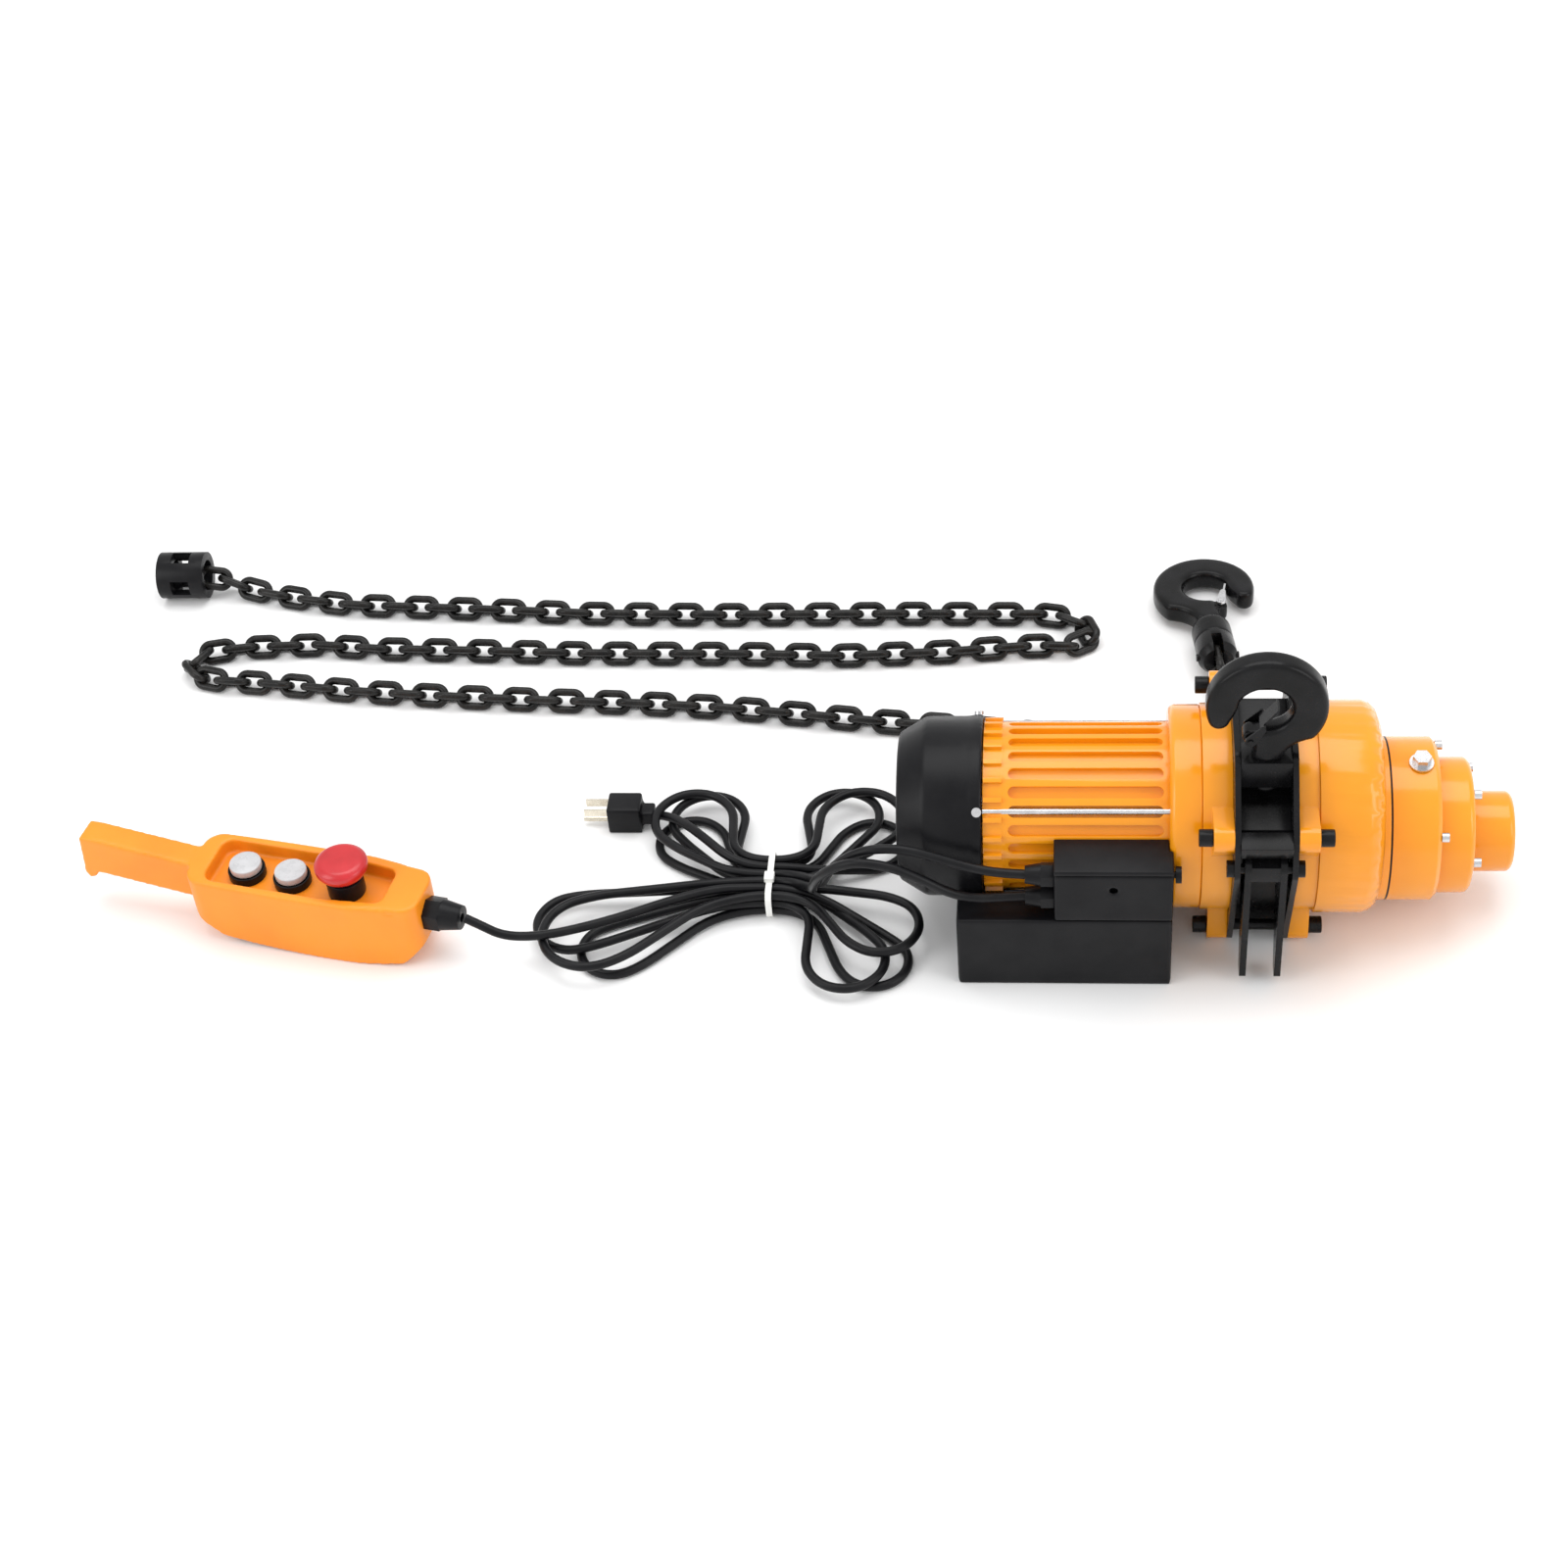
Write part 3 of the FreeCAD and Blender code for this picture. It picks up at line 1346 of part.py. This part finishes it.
def tube(points, radius):
    """A closed round tube along straight runs joined by tangent arcs as large as the runs allow."""
    spots = [Vector(*p) for p in points]
    edges = []
    radii = []
    start = spots[0]
    for before, corner, after in zip(spots, spots[1:], spots[2:]):
        back = (before - corner).normalize()
        on = (after - corner).normalize()
        half_turn = (math.pi - back.getAngle(on)) / 2
        reach = 0.45 * min((before - corner).Length, (after - corner).Length)
        arc_radius = reach / math.tan(half_turn)
        radii.append(round(arc_radius, 1))
        entry = corner + back * reach
        leave = corner + on * reach
        inward = (back + on).normalize()
        centre = corner + inward * (arc_radius / math.cos(half_turn))
        middle = centre - inward * arc_radius
        edges.append(Part.LineSegment(start, entry).toShape())
        edges.append(Part.Arc(entry, middle, leave).toShape())
        start = leave
    edges.append(Part.LineSegment(start, spots[-1]).toShape())
    spine = Part.Wire(edges)
    ring_at = Part.Wire(Part.makeCircle(radius, spots[0], spots[1] - spots[0]))
    solid = spine.makePipeShell([ring_at], True, True)
    print("tube radii", radii, "length", round(spine.Length, 1))
    ratio = solid.Volume / (math.pi * radius**2 * spine.Length)
    print("volume over section times length", round(ratio, 4))
    return solid


def cord(label, points):
    piece = doc.addObject("Part::Feature", "cord")
    piece.Shape = tube(points, s.cord_radius)
    node(label, piece, FLOOR)


def in_pendant(x, y, z):
    """A place in the pendant's frame, given in the floor frame of the hoist axis."""
    turned_place = FLOOR.inverse() * PENDANT
    place = turned_place.multVec(Vector(x, y, z))
    return (place.x, place.y, place.z)


hank_right = -93


def cords():
    gland_end = in_pendant(s.pendant_length + 27, 0, s.pendant_gland_height)
    gland_lead = in_pendant(s.pendant_length + 38, 0, s.pendant_gland_height - 2)
    cord("pendant_cord", [gland_end, gland_lead, (-423, -72, 27), (-413, -72, 19), (-404, -70, 13)])
    upper = (s.control_box_left - s.gland_length, gland_y, s.upper_gland_height)
    cord(
        "power_cord",
        [upper, (upper[0] - 20, gland_y, 98), (upper[0] - 38, gland_y + 2, 101), (hank_right, gland_y + 2, 108)],
    )
    lower = (s.control_box_left - s.gland_length, gland_y, s.lower_gland_height)
    first, second = (lower[0] - 18, gland_y - 1, 75), (lower[0] - 37, gland_y - 2, 74)
    cord("control_cord", [lower, first, second, (hank_right, gland_y - 2, 82)])


def hank():
    """The tied hank of both cords: a flat bow on the floor and loops that lean by the fan cover."""
    left_bow = [(-396, -70), (-364, -94), (-240, -22), (-240, 14), (-302, 92), (-350, 20), (-396, -50)]
    right_bow = [(-216, -22), (-170, -134), (-128, -118), (-101, -90), (-101, 14), (-150, 92), (-216, 14)]
    left, right = [pad(belt([(x, y, 8) for x, y in bow]), "hank_height") for bow in (left_bow, right_bow)]
    raised = pad(
        belt([(-170, 14, 6), (-98, 14, 5), (-98, 110, 5), (-120, 134, 8), (-165, 138, 8), (-188, 100, 6)]),
        "raised_hank_thickness",
        (0, gland_y + 6, 0),
        FRONT_ON,
    )
    waist = box(28, 52, "hank_height", (-242, -30, 0))
    node("cord_hank", fuse(left, right, waist, raised), FLOOR)


def cable_tie():
    """A white tie round the hank's waist, with its lock and tail."""
    loop = cut(
        box(4, 70, "hank_height + 3.6", (-230, -40, 0)),
        box(4, 66, "hank_height + 1.6", (-230, -38, 0)),
    )
    node("cable_tie", loop, FLOOR)


def plug():
    """The mains plug on the floor: its grip, a short neck towards the hank, two blades and an earth pin."""
    body = fuse(
        box(26, 22, 24, (-361, 64, 0)),
        box(10, 14, 12, (-335, 68, 5)),
    )
    node("plug_body", body, FLOOR)
    pins = [box(18, 1.6, 6.4, (-379, y, 14)) for y in (68.5, 80)]
    pins.append(cylinder(2.4, 20, (-381, 75, 6)))
    node("plug_pins", group(*pins), FLOOR)


# ---- build ----

for make in (
    fan_cover,
    motor_rear_bracket,
    motor_housing,
    tie_rods,
    stator,
    rotor,
    cooling_fan,
    motor_flange,
    castings,
    side_plates,
    chain_guide,
    spacer_bar,
    case_bolts,
    load_sheave,
    layshaft,
    bearings,
    gear_housing,
    covers,
    oil_plug,
    cover_screws,
    brake,
    crosshead,
    top_hook,
    limit_fork,
    fork_pivot,
    box_shell,
    control_box,
    thumb_screw,
    box_glands,
    box_contents,
    pendant,
    pendant_buttons,
    pendant_gland,
    load_chain,
    chain_stopper,
    load_hook,
    cords,
    hank,
    cable_tie,
    plug,
):
    make()

doc.recompute()
failed = [o.Label for o in doc.Objects if "Invalid" in o.State or "Error" in o.State]
failed += [n.Label for n in NODES if n.Shape.isNull() or not n.Shape.isValid()]
if failed:
    raise SystemExit(f"these pieces failed: {failed}")

os.makedirs("parts", exist_ok=True)
for piece in NODES:
    piece.Shape.exportStep(os.path.join("parts", piece.Label + ".step"))
print(len(NODES), "nodes")
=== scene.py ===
"""Looks of the electric chain hoist: studio, finishes, softened pieces, cords and their tie."""

import math

import bpy
from mathutils import Matrix, Vector


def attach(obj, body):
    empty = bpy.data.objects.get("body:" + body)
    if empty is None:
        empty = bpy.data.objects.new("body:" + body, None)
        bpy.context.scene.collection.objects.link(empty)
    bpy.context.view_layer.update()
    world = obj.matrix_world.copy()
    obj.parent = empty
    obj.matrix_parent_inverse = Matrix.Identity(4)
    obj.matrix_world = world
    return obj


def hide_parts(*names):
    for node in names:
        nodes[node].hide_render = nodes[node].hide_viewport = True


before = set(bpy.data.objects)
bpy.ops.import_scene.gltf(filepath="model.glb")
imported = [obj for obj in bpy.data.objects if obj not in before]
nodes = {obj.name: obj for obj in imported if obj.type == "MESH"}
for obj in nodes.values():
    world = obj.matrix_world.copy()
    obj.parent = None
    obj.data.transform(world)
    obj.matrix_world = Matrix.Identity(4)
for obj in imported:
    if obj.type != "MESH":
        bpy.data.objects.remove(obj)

bpy.ops.object.select_all(action="DESELECT")
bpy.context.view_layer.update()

# ---- studio ----
# A pale seamless floor under one wide soft light from above and two weaker ones from the sides.
# The camera looks down at the hoist from in front, on a long lens.


MOTOR_AXIS_X = 217.8
MOTOR_AXIS_Y = 2.3


def spot(x, y, z):
    """Millimetres from the floor under the motor's axis, as a place in the frame in metres."""
    return Vector(((x + MOTOR_AXIS_X) / 1000, (y + MOTOR_AXIS_Y) / 1000, z / 1000))


def noise(tree, scale, detail=4.0):
    """A noise texture on object coordinates; the scale is in cells per metre."""
    where = tree.nodes.new("ShaderNodeTexCoord")
    grain = tree.nodes.new("ShaderNodeTexNoise")
    grain.inputs["Scale"].default_value = scale
    grain.inputs["Detail"].default_value = detail
    grain.inputs["Roughness"].default_value = 0.55
    tree.links.new(where.outputs["Object"], grain.inputs["Vector"])
    return grain.outputs["Fac"]


def ramp(tree, fac, low, high):
    """Turns a factor into a colour between two."""
    stops = tree.nodes.new("ShaderNodeValToRGB")
    first, second = stops.color_ramp.elements
    first.position, second.position = 0.35, 0.65
    first.color, second.color = (*low, 1), (*high, 1)
    tree.links.new(fac, stops.inputs["Fac"])
    return stops.outputs["Color"]


def surface(name, low, high, patch, gloss, peel, metal=0.0, coat=0.0, relief=0.25, sheen=0.5):
    """A finish: colour drifting between two shades, varying roughness and a fine grain in relief.

    The patch and the peel are in cells per metre: of the drift in colour, and of the grain.
    """
    made = bpy.data.materials.new(name)
    made.use_nodes = True
    tree = made.node_tree
    shader = tree.nodes["Principled BSDF"]
    shader.inputs["Metallic"].default_value = metal
    shader.inputs["Specular IOR Level"].default_value = sheen
    shader.inputs["Coat Weight"].default_value = coat
    shader.inputs["Coat Roughness"].default_value = 0.12
    tree.links.new(ramp(tree, noise(tree, patch), low, high), shader.inputs["Base Color"])
    spread = tree.nodes.new("ShaderNodeMapRange")
    spread.inputs["To Min"].default_value = gloss[0]
    spread.inputs["To Max"].default_value = gloss[1]
    tree.links.new(noise(tree, patch * 4), spread.inputs["Value"])
    tree.links.new(spread.outputs["Result"], shader.inputs["Roughness"])
    bump = tree.nodes.new("ShaderNodeBump")
    bump.inputs["Strength"].default_value = relief
    bump.inputs["Distance"].default_value = 0.0002
    tree.links.new(noise(tree, peel, 2.0), bump.inputs["Height"])
    tree.links.new(bump.outputs["Normal"], shader.inputs["Normal"])
    return made


bpy.ops.mesh.primitive_plane_add(size=9, location=(0.2, 0.8, 0))
floor = bpy.context.object
floor.name = "studio_floor"
paper = surface("floor_paper", (0.87, 0.87, 0.87), (0.9, 0.9, 0.9), 3, (0.5, 0.6), 300)
floor.data.materials.append(paper)
bpy.ops.object.select_all(action="DESELECT")


def softbox(name, place, aim, size, power):
    """A rectangular lamp at a place, turned towards what it lights."""
    lamp = bpy.data.lights.new(name, "AREA")
    lamp.shape = "RECTANGLE"
    lamp.size, lamp.size_y = size
    lamp.energy = power
    holder = bpy.data.objects.new(name, lamp)
    holder.location = place
    holder.rotation_euler = (Vector(aim) - Vector(place)).to_track_quat("-Z", "Y").to_euler()
    bpy.context.scene.collection.objects.link(holder)


softbox("top_light", (0.1, 0.5, 2.4), (0.1, 0.05, 0.0), (2.6, 1.6), 34)
softbox("left_light", (-1.9, -1.1, 1.4), (0.0, 0.0, 0.1), (1.2, 1.6), 16)
softbox("right_light", (2.1, -0.9, 1.2), (0.2, 0.0, 0.1), (1.0, 1.4), 12)

world = bpy.data.worlds.new("studio")
bpy.context.scene.world = world
world.use_nodes = True
world.node_tree.nodes["Background"].inputs["Color"].default_value = (1, 1, 1, 1)
world.node_tree.nodes["Background"].inputs["Strength"].default_value = 0.95
bpy.context.scene.view_settings.view_transform = "Standard"

lens = bpy.data.cameras.new("camera")
lens.lens = 63
lens.sensor_width = 36
lens.clip_start = 0.05
camera = bpy.data.objects.new("camera", lens)
bpy.context.scene.collection.objects.link(camera)
bpy.context.scene.camera = camera
CAMERA_DISTANCE = 1.99
tilt = math.radians(43)
ahead = Vector((0, math.cos(tilt), -math.sin(tilt)))
above = Vector((0, math.sin(tilt), math.cos(tilt)))
camera.location = spot(0, 0, 90) + above * 0.005 - ahead * CAMERA_DISTANCE
sight = (ahead * 2800 + Vector((-300, 0, 0)) + above * 15).normalized()
camera_right = sight.cross(above).normalized()
camera_up = camera_right.cross(sight)
camera.rotation_euler = Matrix((camera_right, camera_up, -sight)).transposed().to_euler()

# ---- finishes of the metal and plastic pieces ----
# Orange enamel on the castings, textured black on the fan cover and boxes, satin black on the
# steelwork, glossy black on the chain. Every CAD node is given its finish here.

orange, deep_orange = (0.78, 0.27, 0.004), (0.82, 0.235, 0.008)
black, soft_black = (0.003, 0.003, 0.003), (0.004, 0.004, 0.005)
worn_black, dull_black = (0.008, 0.008, 0.009), (0.007, 0.007, 0.008)
enamel = surface(
    "orange_enamel",
    orange,
    (0.85, 0.315, 0.007),
    9,
    (0.16, 0.28),
    700,
    coat=0.35,
    relief=0.1,
    sheen=0.35,
)
pendant_orange = surface(
    "pendant_orange",
    deep_orange,
    (0.88, 0.275, 0.012),
    14,
    (0.3, 0.42),
    1500,
    relief=0.15,
    sheen=0.4,
)
box_black = surface(
    "box_black", soft_black, worn_black, 30, (0.26, 0.4), 1600, relief=0.35, sheen=0.16
)
steel_black = surface("steel_black", black, worn_black, 40, (0.2, 0.32), 800, relief=0.1, sheen=0.18)
chain_black = surface(
    "chain_black", (0.004, 0.004, 0.004), (0.014, 0.013, 0.012), 90, (0.18, 0.36), 1100, sheen=0.25
)
bright_steel = surface(
    "bright_steel", (0.55, 0.55, 0.56), (0.68, 0.68, 0.69), 120, (0.18, 0.34), 1500, metal=1.0
)
dark_iron = surface(
    "dark_iron", (0.07, 0.07, 0.075), (0.13, 0.13, 0.135), 60, (0.4, 0.6), 600, metal=0.8
)
black_plastic = surface("black_plastic", soft_black, worn_black, 50, (0.28, 0.4), 1400, sheen=0.16)
cord_rubber = surface(
    "cord_rubber", (0.003, 0.003, 0.004), dull_black, 60, (0.3, 0.42), 900, sheen=0.2
)
silver_cap = surface(
    "silver_cap", (0.42, 0.42, 0.43), (0.52, 0.52, 0.53), 60, (0.22, 0.34), 900, coat=0.3
)
stop_red = surface(
    "stop_red", (0.42, 0.006, 0.010), (0.52, 0.010, 0.016), 40, (0.26, 0.36), 1000, coat=0.15
)
pin_nickel = surface(
    "pin_nickel", (0.62, 0.56, 0.46), (0.74, 0.69, 0.58), 150, (0.2, 0.34), 1200, metal=1.0
)

finishes = {
    enamel: (
        "case_left case_right gear_housing gear_cover brake_cap end_cap motor_flange motor_housing "
        "motor_rear_bracket"
    ),
    pendant_orange: "pendant_shell",
    box_black: "fan_cover electrical_box control_box control_lid",
    steel_black: (
        "case_bolts chain_guide crosshead fork_pivot limit_fork load_hook side_plates spacer_bar "
        "swivel_socket top_hook top_latch"
    ),
    chain_black: "load_chain slack_chain_near slack_chain_far",
    bright_steel: "tie_rods oil_plug cover_screws load_latch bearings brake_disc layshaft motor_shaft",
    dark_iron: "stator rotor_core load_sheave brake_magnet",
    black_plastic: (
        "box_contents box_glands button_collars chain_stopper contact_blocks cooling_fan gear_gasket "
        "pendant_base pendant_gland plug_body thumb_screw"
    ),
    silver_cap: "up_button down_button",
    stop_red: "stop_button",
    pin_nickel: "plug_pins",
    cord_rubber: "cord_hank cable_tie control_cord pendant_cord power_cord",
}
for finish, names in finishes.items():
    for name in names.split():
        mesh = nodes[name].data
        mesh.materials.clear()
        mesh.materials.append(finish)

# ---- castings, plates and fittings with their edges eased ----
# Cast iron, pressed plate and moulded fittings have no sharp edges: each outer edge is rounded off as
# the mould or the press leaves it.

WELD = 0.00001


def copy_of(node, name, flatten=False):
    """A CAD node's copy under a new name, its seams joined and its flat faces merged if asked."""
    soft = nodes[node].copy()
    soft.data = nodes[node].data.copy()
    soft.name = name
    soft.parent = None
    bpy.context.scene.collection.objects.link(soft)
    bpy.ops.object.select_all(action="DESELECT")
    soft.select_set(True)
    bpy.context.view_layer.objects.active = soft
    bpy.ops.object.mode_set(mode="EDIT")
    bpy.ops.mesh.select_all(action="SELECT")
    bpy.ops.mesh.remove_doubles(threshold=WELD)
    if flatten:
        bpy.ops.mesh.dissolve_limited(angle_limit=math.radians(1.5))
    bpy.ops.object.mode_set(mode="OBJECT")
    return soft


def stand_in_for(soft, node, body):
    """Puts a finished copy in its CAD node's place and on the node's body."""
    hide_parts(node)
    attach(soft, body)
    bpy.ops.object.select_all(action="DESELECT")


def eased(node, width, body="hoist"):
    """A copy of a CAD node with its edges rounded to a width in millimetres."""
    soft = copy_of(node, node + "_eased", flatten=True)
    rounding = soft.modifiers.new("rounding", "BEVEL")
    rounding.width = width / 1000
    rounding.segments = 3
    rounding.limit_method = "ANGLE"
    rounding.angle_limit = math.radians(30)
    rounding.use_clamp_overlap = True
    bpy.ops.object.modifier_apply(modifier="rounding")
    bpy.ops.object.shade_smooth_by_angle(angle=math.radians(32))
    stand_in_for(soft, node, body)
    return soft


for node, width in (
    ("control_lid", 2.5),
    ("gear_housing", 1.5),
    ("gear_cover", 1.5),
    ("brake_cap", 1.5),
    ("end_cap", 1.5),
    ("case_left", 1.2),
    ("case_right", 1.2),
    ("motor_flange", 1.5),
    ("motor_rear_bracket", 0.6),
    ("motor_housing", 0.6),
    ("side_plates", 0.5),
    ("chain_guide", 0.6),
    ("spacer_bar", 0.8),
    ("chain_stopper", 1.2),
    ("swivel_socket", 0.8),
    ("box_glands", 0.4),
    ("pendant_gland", 0.5),
    ("button_collars", 0.5),
    ("case_bolts", 0.8),
):
    eased(node, width)
eased("crosshead", 1.2, body="crosshead_block")
eased("limit_fork", 0.8, body="fork")
eased("up_button", 1.0, body="up_key")
eased("down_button", 1.0, body="down_key")
eased("stop_button", 1.6, body="stop_key")
plug_grip = eased("plug_body", 4)

# ---- moulded and forged pieces ----
# Plastic mouldings and forged hooks have no crisp edge at all, so each one's skin is drawn over again
# and softened all round.


def moulded(node, name, cell, rounds, body="hoist"):
    """A copy of a CAD node with an even new skin and soft corners; the cell is in millimetres."""
    soft = copy_of(node, name)
    skin = soft.modifiers.new("skin", "REMESH")
    skin.mode = "VOXEL"
    skin.voxel_size = cell / 1000
    soften = soft.modifiers.new("soften", "SMOOTH")
    soften.factor = 0.5
    soften.iterations = rounds
    thin = soft.modifiers.new("thin", "DECIMATE")
    thin.ratio = 0.4
    for step in ("skin", "soften", "thin"):
        bpy.ops.object.modifier_apply(modifier=step)
    bpy.ops.object.shade_smooth()
    stand_in_for(soft, node, body)
    return soft


moulded("electrical_box", "box_moulding", 1.6, 16)
moulded("control_box", "control_box_moulding", 1.3, 16)
moulded("fan_cover", "fan_cover_moulding", 1.5, 14)
moulded("top_hook", "top_hook_forging", 1.1, 20, body="upper_hook")
moulded("load_hook", "load_hook_forging", 1.1, 20, body="lower_hook")

# ---- pendant shell ----
# Injection-moulded orange plastic: soft corners, a belly that rises towards both ends, and sides that
# swell a little between handle and nose.

PENDANT_TURN = math.radians(-12)
BODY_START = 0.09
BODY_LENGTH = 0.185
SIDE = 0.024
SWELL = 0.0018
BELLY_HEIGHT = 0.02
END_RISE = 0.009
LOWEST_SHARE = 0.62
pendant_along = Vector((math.cos(PENDANT_TURN), math.sin(PENDANT_TURN), 0))
pendant_across = Vector((-pendant_along.y, pendant_along.x, 0))
tail = spot(-745, -2.3, 0)


def boat_shaped(piece):
    """Swells the pendant's sides and lifts its belly towards both ends."""
    for vertex in piece.data.vertices:
        place = piece.matrix_world @ vertex.co
        along = (place - tail).dot(pendant_along)
        across = (place - tail).dot(pendant_across)
        share = (along - BODY_START) / BODY_LENGTH
        if 0 < share < 1 and abs(across) > SIDE:
            outward = pendant_across * math.copysign(SWELL, across)
            place += outward * math.sin(math.pi * share)
        if 0 < share < 1 and place.z < BELLY_HEIGHT:
            rise = abs(share - LOWEST_SHARE) / LOWEST_SHARE
            place.z += END_RISE * rise**2 * (1 - place.z / BELLY_HEIGHT)
        vertex.co = piece.matrix_world.inverted() @ place


boat_shaped(moulded("pendant_shell", "pendant_moulding", 1.1, 14))
boat_shaped(moulded("pendant_base", "pendant_base_moulding", 1.1, 2))

# ---- control cord and power cord ----
# Two rubber cords, 7 mm thick, leave the control box's glands, arch in front of the fan cover and run
# through one tied hank. The control cord ends in the pendant, the power cord in the mains plug.

TIE = Vector((-228.0, -2.0))
LAYERS = (19.7, 12.4, 5.2)
FLOOR_REST = 3.7
OCTAGON = (112.5, 67.5, 22.5, -22.5, -67.5, -112.5)
TIE_HALF = 14
LONG_LEAD = 110
SAG = 1.5
CORD_RADIUS = 0.0035


def bight(out_lane, back_lane, heading, reach, radius, height, next_height):
    """One fold of the hank: out of the tie in one lane, round a loose end, back in another."""
    way = Vector((math.cos(math.radians(heading)), math.sin(math.radians(heading))))
    side = Vector((-way.y, way.x)) * (1 if (out_lane - back_lane) * way.x > 0 else -1)
    leaving = 1 if way.x > 0 else -1
    rest = max(FLOOR_REST, height - SAG)
    ring = []
    for turn in OCTAGON:
        ahead_by = reach + radius * math.cos(math.radians(turn))
        ring.append(TIE + way * ahead_by + side * radius * math.sin(math.radians(turn)))

    def lead(lane, end, z):
        """The stretch between the tie and the loop, in even steps."""
        start = Vector((TIE.x + TIE_HALF * leaving, lane))
        steps = 3 if (end - start).length < LONG_LEAD else 4
        turning = ((end - start).normalized() + Vector((leaving, 0))).normalized()
        near = start + turning * (end - start).length / steps
        places = [start] + [near.lerp(end, i / (steps - 1)) for i in range(steps - 1)]
        return [(p.x, p.y, z + (rest - z) * i / steps) for i, p in enumerate(places)]

    out = lead(out_lane, ring[0], height)
    back = lead(back_lane, ring[-1], next_height)
    return out + [(p.x, p.y, rest) for p in ring] + back[::-1]


def laid_cord(name, route):
    """A round cord as one smooth spline through its route."""
    line = bpy.data.curves.new(name, "CURVE")
    line.dimensions = "3D"
    spline = line.splines.new("NURBS")
    spline.points.add(len(route) - 1)
    for point, place in zip(spline.points, route):
        point.co = (*spot(*place), 1)
    spline.order_u = 3
    spline.use_endpoint_u = True
    spline.resolution_u = 10
    line.bevel_depth = CORD_RADIUS
    line.bevel_resolution = 4
    line.use_fill_caps = True
    cord = bpy.data.objects.new(name, line)
    bpy.context.scene.collection.objects.link(cord)
    line.materials.append(cord_rubber)
    return cord


control_route = [(-34, -80, 78), (-52, -80.5, 77), (-71, -82, 77), (-90, -84, 84)]
control_route += [(-108, -85, 98)]
control_route += [(-132, -85, 112), (-160, -83, 114), (-182, -76, 94), (-190, -62, 68)]
control_route += [(-192, -40, 44), (-199, -20, 27), (TIE.x + TIE_HALF, -7.5, LAYERS[0])]
control_left = ((204, 142, 38), (196, 150, 30), (209, 128, 27))
control_right = ((-30, 98, 30), (-52, 98, 31), (-42, 108, 27))
for turn, height in enumerate(LAYERS):
    below = LAYERS[min(turn + 1, 2)]
    control_route += bight(-7.5, -22.5, *control_left[turn], height, height)
    if turn < 2:
        control_route += bight(-22.5, -7.5, *control_right[turn], height, below)
    else:
        control_route += bight(-22.5, -15, *control_right[turn], height, LAYERS[0])
control_route += [(-242, -15, 20), (-268, -20, 24), (-300, -34, 25.5), (-336, -52, 25.5)]
control_route += [(-372, -66, 25.5), (-398, -71, 24.5), (-420, -72, 26.5), (-436, -68.6, 34)]
control_route += [(-447, -65.6, 38)]
control_cord = laid_cord("control_cable", control_route)
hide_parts("control_cord", "pendant_cord", "cord_hank")
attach(control_cord, "hoist")

power_route = [(-34, -80, 99), (-54, -79, 99), (-74, -77, 102), (-96, -76, 110), (-122, -76, 120)]
power_route += [(-150, -75, 118), (-172, -70, 98), (-181, -58, 72), (-186, -38, 48), (-196, -14, 29)]
power_route += [(TIE.x + TIE_HALF, 0, LAYERS[0])]
power_left = ((136, 90, 32), (128, 88, 30), (142, 84, 27))
power_right = ((44, 90, 34), (56, 88, 30), (34, 88, 27))
for turn, height in enumerate(LAYERS):
    below = LAYERS[min(turn + 1, 2)]
    power_route += bight(0, 15, *power_left[turn], height, height)
    if turn < 2:
        power_route += bight(15, 0, *power_right[turn], height, below)
    else:
        power_route += bight(15, 7.5, *power_right[turn], height, LAYERS[0])
power_route += [(-242, 7.5, 20), (-262, 14, 24), (-282, 34, 25.5), (-300, 54, 22)]
power_route += [(-316, 70, 14), (-333, 75, 11)]
power_cord = laid_cord("power_cable", power_route)
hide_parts("power_cord")
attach(power_cord, "hoist")

# ---- cable tie ----
# A white nylon tie pulled round the middle of the hank, with its lock on top and its tail cut short.

white_nylon = surface("white_nylon", (0.78, 0.78, 0.75), (0.86, 0.86, 0.83), 80, (0.3, 0.42), 1200)
bpy.ops.mesh.primitive_cube_add(size=1, location=spot(-228, -3.7, 12.65))
tie = bpy.context.object
tie.name = "hank_tie"
tie.scale = (0.0046, 0.0495, 0.0225)
bpy.ops.object.transform_apply(location=True, rotation=True, scale=True)
bpy.ops.object.mode_set(mode="EDIT")
bpy.ops.mesh.select_mode(type="FACE")
bpy.ops.mesh.select_all(action="DESELECT")
bpy.ops.object.mode_set(mode="OBJECT")
for face in tie.data.polygons:
    face.select = abs(face.normal.x) > 0.5
bpy.ops.object.mode_set(mode="EDIT")
bpy.ops.mesh.delete(type="FACE")
bpy.ops.object.mode_set(mode="OBJECT")
rounding = tie.modifiers.new("rounding", "BEVEL")
rounding.width = 0.006
rounding.segments = 4
wall = tie.modifiers.new("wall", "SOLIDIFY")
wall.thickness = 0.0013
wall.offset = 1
for step in ("rounding", "wall"):
    bpy.ops.object.modifier_apply(modifier=step)
bpy.ops.mesh.primitive_cube_add(size=1, location=spot(-228, -10, 26.8))
lock = bpy.context.object
lock.name = "tie_lock"
lock.scale = (0.0075, 0.0085, 0.0048)
bpy.ops.object.transform_apply(location=True, rotation=True, scale=True)
edge = lock.modifiers.new("edge", "BEVEL")
edge.width = 0.0008
edge.segments = 2
bpy.ops.object.modifier_apply(modifier="edge")
for piece in (tie, lock):
    piece.data.materials.append(white_nylon)
    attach(piece, "hoist")
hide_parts("cable_tie")
bpy.ops.object.select_all(action="DESELECT")
